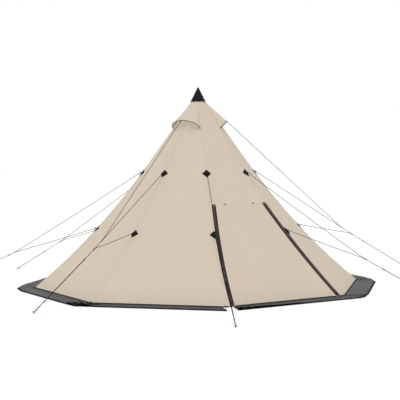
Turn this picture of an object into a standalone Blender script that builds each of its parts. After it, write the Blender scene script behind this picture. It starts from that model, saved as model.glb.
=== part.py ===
"""Eight-sided pyramid tent on one centre pole, with a zipped door, two hooded vents and guy lines.

Metres, +Z up. The origin is on the ground under the centre pole, and the door faces -Y.
Ridges are counted from the front left corner, anticlockwise seen from above.
"""
import math

import bmesh
import bpy
import numpy as np
from mathutils import Matrix, Vector

# Plan of the tent
SIDES = 8
BASE_RADIUS = 2.500
FRONT_HALF_ANGLE = math.radians(23.5)

# Heights, and how far each ridge stands from the pole axis there
TENT_HEIGHT = 3.000
NECK_HEIGHT = 2.780
NECK_RADIUS = 0.108
UPPER_GUY_HEIGHT = 1.710
UPPER_GUY_RADIUS = 0.870
LOWER_GUY_HEIGHT = 0.876
LOWER_GUY_RADIUS = 1.562

# Fabric, measured level through the wall
WALL = 0.004
LAP_THICKNESS = 0.004
LAP_WIDTH = 0.018
PATCH_HALF = 0.070
FOOT_PATCH_RISE = 0.080
FABRIC_GAP = 0.0003
CANOPY_TOP = NECK_HEIGHT + 0.035
WALL_LEVELS = 10
LEVEL_SPACING = 0.1

# Peg loops and guy eyes sewn to the ridges
EYE_RADIUS = 0.011
EYE_ROD = 0.003
EYE_SINK = 0.002
PEG_LOOP_RADIUS = 0.014

# Doorway, door and zips
DOOR_TOP = 1.265
ZIP_INSET_TOP = 0.0539
ZIP_INSET_FOOT = 0.1119
DOOR_GAP = 0.0005
DOOR_SIDE_GAP = 0.0014
DOOR_TOP_EASE = 0.0015
DOOR_EASE_LENGTH = 0.350
DOOR_TAPE_WIDTH = 0.030
FRAME_TAPE_WIDTH = 0.030
TAPE_THICKNESS = 0.0035
ZIP_FOOT = 0.010
ZIP_HEAD_RISE = 0.015
COIL_OFFSET = 0.008
COIL_WIDTH = 0.006
COIL_RISE = 0.002
SLIDER_REST_HEIGHT = 0.045
SLIDER_LENGTH = 0.026
SLIDER_WIDTH = 0.012
SLIDER_DEPTH = 0.007
PULL_LENGTH = 0.045
TOGGLE_SPACING = 0.490
TOGGLE_RISE = 0.010
TOGGLE_LENGTH = 0.034
TOGGLE_RADIUS = 0.006

# Skirt on the ground
SKIRT_WIDTH = 0.300
SKIRT_THICKNESS = 0.003
SKIRT_TUCK = 0.012
SKIRT_FLAT = 0.060
SKIRT_WAVE = 0.012
SKIRT_STEPS = 6
SKIRT_END_GAP = 0.035
SKIRT_SPLIT = 0.006
DOOR_SKIRT_SPREAD = 0.115
DOOR_SKIRT_INSET = 0.005

# How far the skirt's edge reaches at each ridge, along the ridge's bearing
SKIRT_REACH = (0.325, 0.300, 0.245, 0.300, 0.300, 0.300, 0.257, 0.316)
PEG_HOLE_RADIUS = 0.009

# Vents, one on each side ridge
VENT_SILL = 2.500
VENT_HEAD = 2.720
VENT_HALF_LOW = 0.150
VENT_HALF_HIGH = 0.070
MESH_THICKNESS = 0.002
HOOD_TOP = 2.770
HOOD_OVER_SEAM = 0.45
HOOD_FOOT = 2.372
HOOD_CROWN_RADIUS = 0.425
HOOD_CROWN_HEIGHT = 2.490
HOOD_THICKNESS = 0.003
HOOD_EDGE = 0.024
HOOD_STEPS = 14
HOOP_RADIUS = 0.0035
HOOP_EYE_RADIUS = 0.009

# Apex cap
CAP_HEM = 2.776
CAP_SCALLOP = 0.012
CAP_WALL = 0.004
CAP_CLEARANCE = 0.0008
CAP_TIP_RADIUS = 0.007
CAP_INNER_TIP_DROP = 0.016

# Centre pole
POLE_RADIUS = 0.015
POLE_WALL = 0.0015
POLE_SECTIONS = 4
POLE_TOP = 2.735
SPIGOT_LENGTH = 0.080
PLUG_GAP = 0.0003
FOOT_RADIUS = 0.045
FOOT_PLATE = 0.010
FOOT_COLLAR = 0.030
HEAD_LOW = 2.772
HEAD_HIGH = 2.810
HEAD_HUB_RADIUS = 0.022
HEAD_PIN_RADIUS = 0.006
HEAD_PIN_TOP = 2.970

# Guy lines: distance from the pole axis along a ridge's bearing, height
LEG_RADIUS = 0.0025
MAIN_RADIUS = 0.0035
KNOT_RADIUS = 0.009
LEG_LOOP_RADIUS = 0.008
MAIN_LOOP_ROD = 0.003
MAIN_LOOP_RADIUS = 0.008
LEG_SAG = 0.008
LINK_GAP = 0.0008
JUNCTION = (2.780, 0.547)
JUNCTION_AT_VENT = (2.385, 0.738)
GUY_LOOP_HEIGHT = 0.014
VENT_LEG_JOINS_AT = 0.90

# Where each line is pegged, ridge by ridge: distance along the ridge's bearing, and how far aside
GUY_PEG_DISTANCE = (4.064, 3.950, 3.570, 3.950, 3.950, 3.800, 3.950, 3.570)
GUY_PEG_ASIDE = (-0.135, 0.0, 0.0, 0.0, 0.0, 0.120, 0.0, 0.0)

# Where each line's tensioner was left, from the junction down the main line, ridge by ridge
TENSIONER_SET = (0.30, 0.34, 0.25, 0.30, 0.32, 0.45, 0.09, 0.26)
TENSIONER_LENGTH = 0.046
TENSIONER_WIDTH = 0.016
TENSIONER_DEPTH = 0.012
TENSIONER_CLEARANCE = 0.0007

# Pegs: bent steel rod
PEG_ROD = 0.004
PEG_HOOK_RADIUS = 0.007
GUY_PEG_LENGTH = 0.240
CORNER_PEG_LENGTH = 0.220
PEG_HEAD = 0.016
CORNER_PEG_LEAN = math.radians(12)

SIDE_VENT_RIDGES = (2, 7)
SIDE_NAMES = {2: "right", 7: "left"}
TURN_STEPS = 20


# Scene and materials

def clear_scene():
    """Remove every object that the scene holds."""
    for obj in list(bpy.data.objects):
        bpy.data.objects.remove(obj, do_unlink=True)


def linear(value):
    """One sRGB channel from 0 to 1, as linear light."""
    if value <= 0.04045:
        return value / 12.92
    return ((value + 0.055) / 1.055) ** 2.4


def material(name, colour, roughness, metallic=0.0):
    """A Principled material from an sRGB hex colour."""
    channels = [linear(int(colour[i:i + 2], 16) / 255) for i in (0, 2, 4)]
    mat = bpy.data.materials.new(name)
    mat.use_nodes = True
    shader = mat.node_tree.nodes["Principled BSDF"]
    shader.inputs["Base Color"].default_value = (*channels, 1.0)
    shader.inputs["Roughness"].default_value = roughness
    shader.inputs["Metallic"].default_value = metallic
    return mat


def collection(name):
    """A new collection in the scene."""
    made = bpy.data.collections.new(name)
    bpy.context.scene.collection.children.link(made)
    return made


clear_scene()
PARTS = collection("pyramid_tent")
CUTTERS = collection("cutters")
CANOPY = material("canopy_cotton", "D6C8B7", 0.9)
DARK_CLOTH = material("dark_cloth", "4A4A4C", 0.9)
CAP_CLOTH = material("cap_cloth", "1B2024", 0.8)
ZIP_TAPE = material("zip_tape", "3C3230", 0.8)
NET = material("vent_net", "8F8570", 0.9)
CORD = material("guy_cord", "55513F", 0.8)
PLASTIC = material("black_plastic", "1E1A18", 0.5)
STEEL = material("peg_steel", "8D8A84", 0.4, 1.0)
ALUMINIUM = material("pole_aluminium", "B4B6B8", 0.35, 1.0)
GLASS_FIBRE = material("hoop_rod", "6B5A45", 0.5)


# Making and joining solids

def adopt(obj, mat, group):
    """Put an object in one collection only, with one material."""
    for holder in list(obj.users_collection):
        holder.objects.unlink(obj)
    group.objects.link(obj)
    obj.data.materials.clear()
    obj.data.materials.append(mat)
    return obj


def mesh_object(name, points, faces, mat, group=PARTS):
    """A mesh object whose faces all point out."""
    mesh = bpy.data.meshes.new(name)
    mesh.from_pydata([tuple(p) for p in points], [], faces)
    shape = bmesh.new()
    shape.from_mesh(mesh)
    bmesh.ops.recalc_face_normals(shape, faces=shape.faces)
    shape.to_mesh(mesh)
    shape.free()
    obj = bpy.data.objects.new(name, mesh)
    return adopt(obj, mat, group)


def loft(name, rings, mat, group=PARTS):
    """A solid skinned over closed rings of equal count, with a flat face on the first and the last."""
    rings = np.asarray(rings, dtype=float)
    count, width = rings.shape[:2]
    faces = [list(range(width)), [(count - 1) * width + j for j in range(width)]]
    for i in range(count - 1):
        for j in range(width):
            nxt = (j + 1) % width
            faces.append([i * width + j, i * width + nxt, (i + 1) * width + nxt, (i + 1) * width + j])
    return mesh_object(name, rings.reshape(-1, 3), faces, mat, group)


def shell(name, grid, thickness, mat):
    """A grid of points given thickness on its outer side, away from the pole axis."""
    rows, columns = grid.shape[:2]
    faces = []
    for i in range(rows - 1):
        for j in range(columns - 1):
            faces.append([i * columns + j, (i + 1) * columns + j, (i + 1) * columns + j + 1, i * columns + j + 1])
    mesh = bpy.data.meshes.new(name)
    mesh.from_pydata([tuple(p) for p in grid.reshape(-1, 3)], [], faces)
    obj = adopt(bpy.data.objects.new(name, mesh), mat, PARTS)
    skin = obj.modifiers.new("thickness", "SOLIDIFY")
    skin.thickness = thickness
    skin.offset = 1.0
    skin.use_even_offset = True
    return obj


def turned(name, profile, mat):
    """A turned solid from a profile of (radius, height) that runs down its outer side."""
    closed = profile[0][0] > 0
    points = [(radius, 0, height) for radius, height in profile]
    edges = [(i, i + 1) for i in range(len(points) - 1)]
    if closed:
        edges.append((len(points) - 1, 0))
    mesh = bpy.data.meshes.new(name)
    mesh.from_pydata(points, edges, [])
    obj = adopt(bpy.data.objects.new(name, mesh), mat, PARTS)
    screw = obj.modifiers.new("turn", "SCREW")
    screw.steps = TURN_STEPS
    screw.render_steps = TURN_STEPS
    screw.use_merge_vertices = True
    screw.merge_threshold = 0.00001
    return obj


def tube(name, points, radius, mat, taper=None):
    """A round bar along a row of points, as a curve with filled caps."""
    curve = bpy.data.curves.new(name, "CURVE")
    curve.dimensions = "3D"
    curve.bevel_depth = radius
    curve.bevel_resolution = 2
    curve.use_fill_caps = True
    spline = curve.splines.new("POLY")
    spline.points.add(len(points) - 1)
    for i, point in enumerate(points):
        spline.points[i].co = (*point, 1.0)
        spline.points[i].radius = taper[i] if taper else 1.0
    return adopt(bpy.data.objects.new(name, curve), mat, PARTS)


def settle(obj):
    """Turn an object into a plain welded mesh of its finished shape."""
    bpy.context.view_layer.update()
    graph = bpy.context.evaluated_depsgraph_get()
    mesh = bpy.data.meshes.new_from_object(obj.evaluated_get(graph))
    shape = bmesh.new()
    shape.from_mesh(mesh)
    bmesh.ops.remove_doubles(shape, verts=shape.verts, dist=0.00001)
    shape.to_mesh(mesh)
    shape.free()
    name, place = obj.name, obj.matrix_world.copy()
    group, mat = obj.users_collection[0], mesh.materials[0]
    bpy.data.objects.remove(obj, do_unlink=True)
    made = bpy.data.objects.new(name, mesh)
    made.name = name
    made.matrix_world = place
    return adopt(made, mat, group)


def facet(obj):
    """Split the twisted faces of a waved sheet into flat triangles, alike above and below."""
    obj.modifiers.new("facets", "TRIANGULATE").quad_method = "SHORTEST_DIAGONAL"
    return settle(obj)


def join(target, others):
    """Weld other solids onto a target by Boolean union, one after the other, and remove them."""
    for other in others:
        weld = target.modifiers.new("weld", "BOOLEAN")
        weld.operation = "UNION"
        weld.object = other
        target = settle(target)
        bpy.data.objects.remove(other, do_unlink=True)
    return target


def cut(target, cutter):
    """Cut a target by a guide that stays in the cutters' collection."""
    cutter.hide_render = True
    cutter.display_type = "WIRE"
    knife = target.modifiers.new("cut", "BOOLEAN")
    knife.operation = "DIFFERENCE"
    knife.object = cutter


def ring(name, place, axis, radius, rod, mat):
    """A ring of round rod, square to an axis."""
    bpy.ops.mesh.primitive_torus_add(major_segments=10, minor_segments=6,
                                     major_radius=radius, minor_radius=rod)
    obj = bpy.context.active_object
    obj.name = name
    turn = Vector(axis).to_track_quat("Z", "Y").to_matrix().to_4x4()
    obj.matrix_world = Matrix.Translation(Vector(place)) @ turn
    return adopt(obj, mat, PARTS)


def ball(name, place, radius, mat):
    """A round knot."""
    bpy.ops.mesh.primitive_uv_sphere_add(segments=8, ring_count=6, radius=radius, location=place)
    obj = bpy.context.active_object
    obj.name = name
    return adopt(obj, mat, PARTS)


def carry(obj, frame):
    """Move an object by a frame's matrix."""
    bpy.context.view_layer.update()
    obj.matrix_world = frame @ obj.matrix_world
    return obj


def set_origin(obj, point):
    """Move a mesh object's origin to a world point without moving its shape."""
    obj.data.transform(Matrix.Translation(-Vector(point)))
    obj.location = point
    return obj


# Plan geometry

def ridge_angle(k):
    """Bearing of ridge k from the door's direction, turning towards +X."""
    k = k % SIDES
    if k < 2:
        return FRONT_HALF_ANGLE * (2 * k - 1)
    return (k - 0.5) * 2 * math.pi / SIDES


def bearing(angle):
    """Level unit vector at a bearing, where zero is -Y."""
    return np.array([math.sin(angle), -math.cos(angle)])


def side_normal(k):
    """Level outward normal of the side from ridge k to the next."""
    start, end = ridge_angle(k), ridge_angle(k + 1)
    if end < start:
        end += 2 * math.pi
    return bearing((start + end) / 2)


def corner(k, radius, out=0.0):
    """Plan corner of ridge k on an octagon of this radius, moved out from both its sides."""
    before, after = side_normal(k - 1), side_normal(k)
    return bearing(ridge_angle(k)) * radius + (before + after) * out / (1 + before @ after)


def along(k):
    """Level unit vector along side k, from ridge k to the next."""
    step = corner(k + 1, 1.0) - corner(k, 1.0)
    return step / np.linalg.norm(step)


def ridge_curve(z):
    """Distance of a ridge from the pole axis at a height: the cubic through neck, guy points and foot."""
    knots = ((0.0, BASE_RADIUS), (LOWER_GUY_HEIGHT, LOWER_GUY_RADIUS),
             (UPPER_GUY_HEIGHT, UPPER_GUY_RADIUS), (NECK_HEIGHT, NECK_RADIUS))
    total = 0.0
    for i, (zi, radius) in enumerate(knots):
        weight = 1.0
        for j, (zj, _) in enumerate(knots):
            if j != i:
                weight *= (z - zj) / (zi - zj)
        total += radius * weight
    return total


def ridge_slope(z):
    """Change of ridge radius with height."""
    step = 0.001
    return (ridge_curve(z + step) - ridge_curve(z - step)) / (2 * step)


def patch_rise(height):
    """Half the height of a guy patch whose diagonal follows the ridge."""
    return PATCH_HALF / math.hypot(1.0, ridge_slope(height))


def fabric_levels():
    """Heights where every layer of the canopy has a row, with rows at the corners of each patch."""
    share = 1 - LAP_WIDTH / PATCH_HALF
    fixed = [0.0, FOOT_PATCH_RISE * share, DOOR_TOP, VENT_SILL, VENT_HEAD, CANOPY_TOP]
    for height in (LOWER_GUY_HEIGHT, UPPER_GUY_HEIGHT):
        rise = patch_rise(height) * share
        fixed += [height - rise, height, height + rise]
    free = [z for z in np.linspace(0, CANOPY_TOP, WALL_LEVELS) if min(abs(z - f) for f in fixed) > LEVEL_SPACING]
    return np.array(sorted(fixed + free))


LEVELS = fabric_levels()
LEVEL_RADII = ridge_curve(LEVELS)


def ridge_radius(z):
    """Distance of a ridge from the pole axis at a height, straight between the canopy's rows."""
    return float(np.interp(z, LEVELS, LEVEL_RADII))


def rows(low, high):
    """Heights from low to high with every canopy row between them."""
    return [low] + [z for z in LEVELS if low + 0.002 < z < high - 0.002] + [high]


def ridge_frame(k):
    """Matrix that turns the XZ plane, with +X outwards, to the upright plane of ridge k."""
    return Matrix.Rotation(ridge_angle(k) - math.pi / 2, 4, "Z")


def ridge_face(k, z):
    """Distance from the pole axis to the outside of the lapped seam on ridge k."""
    return float(np.linalg.norm(corner(k, ridge_radius(z), FABRIC_GAP + LAP_THICKNESS)))


FOOT_LEVEL = SKIRT_THICKNESS + FABRIC_GAP


# Canopy

def lap_width(z, on_front):
    """Width of the seam on one side of its ridge: the plain lap, a guy patch or the foot patch."""
    width = LAP_WIDTH
    for height in (LOWER_GUY_HEIGHT, UPPER_GUY_HEIGHT):
        if on_front and height < DOOR_TOP:
            continue
        width = max(width, PATCH_HALF * (1 - abs(z - height) / patch_rise(height)))
    return max(width, PATCH_HALF * (1 - z / FOOT_PATCH_RISE))


def panel_section(k, z):
    """Level section of wall k with its seam lapped over ridge k onto the wall before it."""
    radius = ridge_radius(z)
    own, back = along(k), -along(k - 1)
    own_width = lap_width(z, k % SIDES == 0)
    back_width = lap_width(z, k % SIDES == 1)
    lap_out = FABRIC_GAP + LAP_THICKNESS
    half = own * FABRIC_GAP / 2
    points = [
        corner(k + 1, radius) - half,
        corner(k, radius) + own * own_width,
        corner(k, radius, lap_out) + own * own_width,
        corner(k, radius, lap_out),
        corner(k, radius, lap_out) + back * back_width,
        corner(k, radius, FABRIC_GAP) + back * back_width,
        corner(k, radius, FABRIC_GAP),
        corner(k, radius) + half,
        corner(k, radius, -WALL) + half,
        corner(k + 1, radius, -WALL) - half,
    ]
    return [(x, y, z) for x, y in points]


def eye_centre(k, z):
    """Centre of a guy eye on ridge k, in the ridge's upright plane."""
    slope = ridge_slope(z)
    normal = np.array([1.0, -slope]) / math.hypot(1.0, slope)
    return np.array([ridge_face(k, z), z]) + normal * (EYE_RADIUS + EYE_ROD - EYE_SINK)


def peg_loop_centre(k):
    """Centre of the foot's peg loop on ridge k, in the ridge's upright plane."""
    z = FOOT_LEVEL + EYE_ROD
    return np.array([ridge_face(k, z) + PEG_LOOP_RADIUS + EYE_ROD - EYE_SINK, z])


def corner_peg_centre(k):
    """Where the corner peg of ridge k stands against the outer side of its loop."""
    return peg_loop_centre(k) + np.array([PEG_LOOP_RADIUS - EYE_ROD - PEG_ROD - FABRIC_GAP, 0.0])


def ridge_fittings(k):
    """The two guy eyes and the peg loop of ridge k."""
    frame = ridge_frame(k)
    made = []
    for z in (LOWER_GUY_HEIGHT, UPPER_GUY_HEIGHT):
        x, up = eye_centre(k, z)
        made.append(carry(ring("eye", (x, 0, up), (0, 1, 0), EYE_RADIUS, EYE_ROD, CANOPY), frame))
    x, up = peg_loop_centre(k)
    made.append(carry(ring("peg_loop", (x, 0, up), (0, 0, 1), PEG_LOOP_RADIUS, EYE_ROD, CANOPY), frame))
    return made


def wall_panel(name, k):
    """One wall from ridge k to the next, with the seam and fittings of ridge k."""
    rings = [panel_section(k, z) for z in rows(FOOT_LEVEL, CANOPY_TOP)]
    return join(loft(name, rings, CANOPY), ridge_fittings(k))


def front_y(z):
    """Outer face of the front side at a height."""
    return -ridge_radius(z) * math.cos(FRONT_HALF_ANGLE)


def zip_x(z):
    """Half the width of the doorway at a height: the zips run straight, inset from the front corners."""
    foot = BASE_RADIUS * math.sin(FRONT_HALF_ANGLE) - ZIP_INSET_FOOT
    top = ridge_curve(DOOR_TOP) * math.sin(FRONT_HALF_ANGLE) - ZIP_INSET_TOP
    return foot + (top - foot) * z / DOOR_TOP


def toggles():
    """Two toggles above the door that hold it when it is rolled up."""
    made = []
    z = DOOR_TOP + TOGGLE_RISE
    for side in (-1, 1):
        middle, y = side * TOGGLE_SPACING / 2, front_y(z) - TOGGLE_RADIUS / 2
        ends = [(middle - TOGGLE_LENGTH / 2, y, z), (middle + TOGGLE_LENGTH / 2, y, z)]
        made.append(settle(tube("toggle", ends, TOGGLE_RADIUS, CANOPY)))
    return made


def front_panel():
    """The front side round the doorway: a header and two legs."""
    panel = wall_panel("front_panel", 0)
    panel = join(panel, toggles())
    near, far = -BASE_RADIUS / 4, -BASE_RADIUS * 1.1
    rings = []
    for z in (-DOOR_TOP / 4, DOOR_TOP):
        x = zip_x(z)
        rings.append([(-x, near, z), (x, near, z), (x, far, z), (-x, far, z)])
    cut(panel, loft("doorway_cutter", rings, CANOPY, CUTTERS))
    return panel


def vent_section(k, z, spare, inner, outer):
    """Level section of the vent on ridge k, folded over the ridge between two offsets from the wall."""
    share = (z - VENT_SILL) / (VENT_HEAD - VENT_SILL)
    reach = VENT_HALF_LOW + (VENT_HALF_HIGH - VENT_HALF_LOW) * share + spare
    back, own = -along(k - 1) * reach, along(k) * reach
    radius = ridge_radius(z)
    points = [corner(k, radius, outer) + back, corner(k, radius, outer), corner(k, radius, outer) + own,
              corner(k, radius, inner) + own, corner(k, radius, inner), corner(k, radius, inner) + back]
    return [(x, y, z) for x, y in points]


def canopy():
    """The front and the seven plain walls, with a vent cut over each side ridge."""
    front_panel()
    walls = {k: wall_panel(f"wall_panel_{k}", k) for k in range(1, SIDES)}
    for k in SIDE_VENT_RIDGES:
        rings = [vent_section(k, z, 0.0, -2 * WALL, 4 * WALL) for z in (VENT_SILL, VENT_HEAD)]
        cutter = loft(f"vent_cutter_{SIDE_NAMES[k]}", rings, CANOPY, CUTTERS)
        cut(walls[k], cutter)
        cut(walls[k - 1], cutter)


# Door and zips

def door_pivot():
    """The door's hinge line: the outer edge of its top."""
    z = DOOR_TOP - DOOR_GAP
    return (0.0, front_y(z), z)


def door_section(z, rise):
    """Level section of the door, with the raised half tape along both edges, cut back near its top."""
    ease = DOOR_TOP_EASE * max(0.0, 1 - (DOOR_TOP - z) / DOOR_EASE_LENGTH)
    x = zip_x(z) - DOOR_SIDE_GAP - ease
    tape = x - DOOR_TAPE_WIDTH
    outer, inner = front_y(z), front_y(z) + WALL
    points = [(-x, inner), (x, inner), (x, outer - rise), (tape, outer - rise),
              (tape, outer), (-tape, outer), (-tape, outer - rise), (-x, outer - rise)]
    return [(px, py, z) for px, py in points]


def door_panel(parent):
    """The door between the zips, closed."""
    full = FABRIC_GAP + TAPE_THICKNESS
    top = DOOR_TOP - DOOR_GAP
    rings = [door_section(z, full) for z in rows(FOOT_LEVEL, top - TAPE_THICKNESS)]
    rings.append(door_section(top, FABRIC_GAP))
    door = loft("door_panel", rings, CANOPY)
    set_origin(door, door_pivot())
    door.location = (0, 0, 0)
    door.parent = parent
    return door


def skirt_row(inner, flat, outer, height):
    """Upright section of the skirt through its tucked, flat and outer lines."""
    top = SKIRT_THICKNESS
    return [(*inner, 0), (*flat, 0), (*outer, height), (*outer, height + top), (*flat, top), (*inner, top)]


def door_skirt_lines(share, beyond=0.0):
    """Plan points of the lines of the door's skirt, a share of the way from its middle to its end."""
    foot = front_y(0)
    inner_half = zip_x(0) - DOOR_SKIRT_INSET
    outer_half = zip_x(0) + DOOR_SKIRT_SPREAD
    flat_half = inner_half + (outer_half - inner_half) * SKIRT_FLAT / SKIRT_WIDTH
    ends = ((inner_half, SKIRT_TUCK), (flat_half, -SKIRT_FLAT), (outer_half, -SKIRT_WIDTH))
    return [(share * half + beyond, foot + out) for half, out in ends]


def door_skirt(parent):
    """The strip of skirt that is sewn to the door and moves with it."""
    rings = []
    for i in range(SKIRT_STEPS + 1):
        share = 2 * i / SKIRT_STEPS - 1
        rings.append(skirt_row(*door_skirt_lines(share), SKIRT_WAVE if i % 2 else 0.0))
    skirt = facet(loft("door_skirt", rings, DARK_CLOTH))
    set_origin(skirt, door_pivot())
    skirt.location = (0, 0, 0)
    skirt.parent = parent
    return skirt


def frame_tape_section(side, z):
    """Level section of one zip on the doorway's edge, with its coil."""
    start = zip_x(z)
    low, high = front_y(z) - FABRIC_GAP, front_y(z) - FABRIC_GAP - TAPE_THICKNESS
    coil = start + COIL_OFFSET
    points = [(start, low), (start + FRAME_TAPE_WIDTH, low), (start + FRAME_TAPE_WIDTH, high),
              (coil + COIL_WIDTH / 2, high), (coil, high - COIL_RISE), (coil - COIL_WIDTH / 2, high), (start, high)]
    return [(side * x, y, z) for x, y in points]


def slider_place(side, z):
    """Middle of a slider's seat on its coil at a height."""
    coil_top = FABRIC_GAP + TAPE_THICKNESS + COIL_RISE
    slope = ridge_slope(z) * math.cos(FRONT_HALF_ANGLE)
    return (side * (zip_x(z) + COIL_OFFSET), front_y(z) - coil_top - FABRIC_GAP * math.hypot(1, slope), z)


def zip_slider(name, side):
    """A slider with its pull, at the foot of its zip, where the closed zip leaves it."""
    length, width, depth = SLIDER_LENGTH, SLIDER_WIDTH, SLIDER_DEPTH
    body = []
    widths = (width * 0.34, width / 2, width / 2, width * 0.4)
    for z, half in zip((-length / 2, -length / 4, length / 4, length / 2), widths):
        body.append([(-half, 0, z), (half, 0, z), (half, -depth, z), (-half, -depth, z)])
    slider = loft(name, body, PLASTIC)
    pull = []
    for z, half in ((0.002, 0.0035), (-PULL_LENGTH * 0.8, 0.0045), (-PULL_LENGTH, 0.003)):
        near, far = -depth + 0.001, -depth - 0.002
        pull.append([(-half, near, z), (half, near, z), (half, far, z), (-half, far, z)])
    slider = join(slider, [loft("pull", pull, PLASTIC)])
    z = SLIDER_REST_HEIGHT
    slider.location = slider_place(side, z)
    slider.rotation_euler = (-math.atan(-ridge_slope(z) * math.cos(FRONT_HALF_ANGLE)), 0, 0)
    return slider


def door():
    """The door with its skirt on one hinge line, the two zips and their sliders."""
    hinge = bpy.data.objects.new("door_hinge", None)
    PARTS.objects.link(hinge)
    hinge.location = door_pivot()
    door_panel(hinge)
    door_skirt(hinge)
    for side, word in ((-1, "left"), (1, "right")):
        rings = [frame_tape_section(side, z) for z in rows(ZIP_FOOT, DOOR_TOP + ZIP_HEAD_RISE)]
        loft(f"door_zip_{word}", rings, ZIP_TAPE)
        zip_slider(f"zip_slider_{word}", side)


# Skirt

def skirt_lines(k, share):
    """Plan points of the tucked, flat and outer lines of the skirt, a share of the way along side k."""
    lines = []
    for out in (-SKIRT_TUCK, SKIRT_FLAT, SKIRT_WIDTH):
        start, end = corner(k, BASE_RADIUS, out), corner(k + 1, BASE_RADIUS, out)
        lines.append(start + (end - start) * share)
    return lines


def skirt_corner(k):
    """Plan points of the tucked, flat and outer lines of the skirt at a ridge."""
    tip = corner(k, BASE_RADIUS) + bearing(ridge_angle(k)) * SKIRT_REACH[k]
    return [corner(k, BASE_RADIUS, -SKIRT_TUCK), corner(k, BASE_RADIUS, SKIRT_FLAT), tip]


def ground_skirt():
    """The skirt from the door's right end round the seven other sides, with holes for the corner pegs."""
    rings = [skirt_row(*door_skirt_lines(1.0, SKIRT_SPLIT), 0.0)]
    for k in range(1, SIDES):
        rings.append(skirt_row(*skirt_corner(k), 0.0))
        for i in range(1, SKIRT_STEPS):
            rings.append(skirt_row(*skirt_lines(k, i / SKIRT_STEPS), 0.0 if i % 2 else SKIRT_WAVE))
    last = 1 - SKIRT_END_GAP / np.linalg.norm(corner(SIDES, BASE_RADIUS) - corner(SIDES - 1, BASE_RADIUS))
    rings.append(skirt_row(*skirt_lines(SIDES - 1, last), SKIRT_WAVE))
    skirt = facet(loft("ground_skirt", rings, DARK_CLOTH))
    for k in range(1, SIDES):
        bpy.ops.mesh.primitive_cylinder_add(vertices=8, radius=PEG_HOLE_RADIUS, depth=0.04)
        drill = adopt(bpy.context.active_object, DARK_CLOTH, CUTTERS)
        drill.name = f"peg_hole_cutter_{k + 1}"
        place = Matrix.Translation((corner_peg_centre(k)[0], 0, 0))
        drill.matrix_world = ridge_frame(k) @ place @ Matrix.Rotation(math.pi / 8, 4, "Z")
        cut(skirt, drill)
    return skirt


# Vents

def hood_seat(k, share, z, out):
    """A point on the two sides beside ridge k: share runs from -1 to 1 between the hood's edges."""
    radius = ridge_radius(z)
    middle = corner(k, radius, out)
    if share < 0:
        edge = corner(k - 1, radius, out) + along(k - 1) * HOOD_EDGE
    else:
        edge = corner(k + 1, radius, out) - along(k) * HOOD_EDGE
    x, y = middle + (edge - middle) * abs(share)
    return np.array([x, y, z])


def hood_arch(k, share):
    """The hood's lower edge: half an ellipse from foot to foot through the crown."""
    feet = [hood_seat(k, s, HOOD_FOOT, FABRIC_GAP) for s in (-1, 1)]
    middle = (feet[0] + feet[1]) / 2
    crown = np.array([*bearing(ridge_angle(k)) * HOOD_CROWN_RADIUS, HOOD_CROWN_HEIGHT])
    turn = share * math.pi / 2
    return middle + (feet[1] - middle) * math.sin(turn) + (crown - middle) * math.cos(turn)


def hood_point(k, share, z):
    """The hood's inner face: over the wall and its seam at the top, swelling out to the arch at its lower edge."""
    over_seam = z > VENT_HEAD and abs(share) < HOOD_OVER_SEAM
    out = FABRIC_GAP + (LAP_THICKNESS + FABRIC_GAP if over_seam else 0.0)
    swell = hood_arch(k, share) - hood_seat(k, share, HOOD_FOOT, FABRIC_GAP)
    return hood_seat(k, share, z, out) + swell * (HOOD_TOP - z) / (HOOD_TOP - HOOD_FOOT)


def hood_shares():
    """Stations from edge to edge that the hood and its hoop share."""
    return np.sin(np.linspace(-math.pi / 2, math.pi / 2, HOOD_STEPS + 1))


def vent_hood(k):
    """A hood of cloth over the vent on ridge k."""
    levels = [HOOD_TOP, *np.linspace(VENT_HEAD, VENT_SILL, 4), HOOD_FOOT]
    grid = np.array([[hood_point(k, s, z) for s in hood_shares()] for z in levels])
    return shell(f"vent_hood_{SIDE_NAMES[k]}", grid, HOOD_THICKNESS, CANOPY)


def hoop_point(k, share):
    """Middle of the hoop's rod, just below the hood's edge and clear of the wall."""
    edge = hood_arch(k, share)
    fall = edge - hood_point(k, share, HOOD_FOOT + HOOP_RADIUS * 8)
    fall = fall / np.linalg.norm(fall)
    side = hood_arch(k, min(share + 0.01, 1)) - hood_arch(k, max(share - 0.01, -1))
    outward = np.cross(fall, side)
    outward = outward / np.linalg.norm(outward)
    if outward[:2] @ bearing(ridge_angle(k)) < 0:
        outward = -outward
    point = edge + (fall + outward) * (HOOP_RADIUS + FABRIC_GAP)
    wall = k - 1 if share < 0 else k
    normal = side_normal(wall)
    lean = normal @ bearing(ridge_angle(wall))
    off_wall = point[:2] @ normal - ridge_radius(point[2]) * lean
    needed = (HOOP_RADIUS + FABRIC_GAP) * math.hypot(1.0, ridge_slope(point[2]) * lean)
    point[:2] += normal * max(0.0, needed - off_wall)
    return point


def hoop_eye_centre(k):
    """Centre of the eye on the hoop's crown, in the ridge's upright plane."""
    crown = hoop_point(k, 0.0)
    rod = np.array([math.hypot(crown[0], crown[1]), crown[2]])
    pull = np.array(JUNCTION_AT_VENT) - rod
    pull = pull / np.linalg.norm(pull)
    return rod + pull * (HOOP_RADIUS + HOOP_EYE_RADIUS + EYE_ROD - EYE_SINK)


def vent_hoop(k):
    """The bent rod that holds the hood open, with the eye that its guy leg pulls on."""
    route = [hoop_point(k, s) for s in hood_shares()]
    rod = settle(tube(f"vent_hoop_{SIDE_NAMES[k]}", route, HOOP_RADIUS, GLASS_FIBRE))
    x, z = hoop_eye_centre(k)
    eye = carry(ring("hoop_eye", (x, 0, z), (0, 1, 0), HOOP_EYE_RADIUS, EYE_ROD, GLASS_FIBRE), ridge_frame(k))
    return join(rod, [eye])


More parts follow.
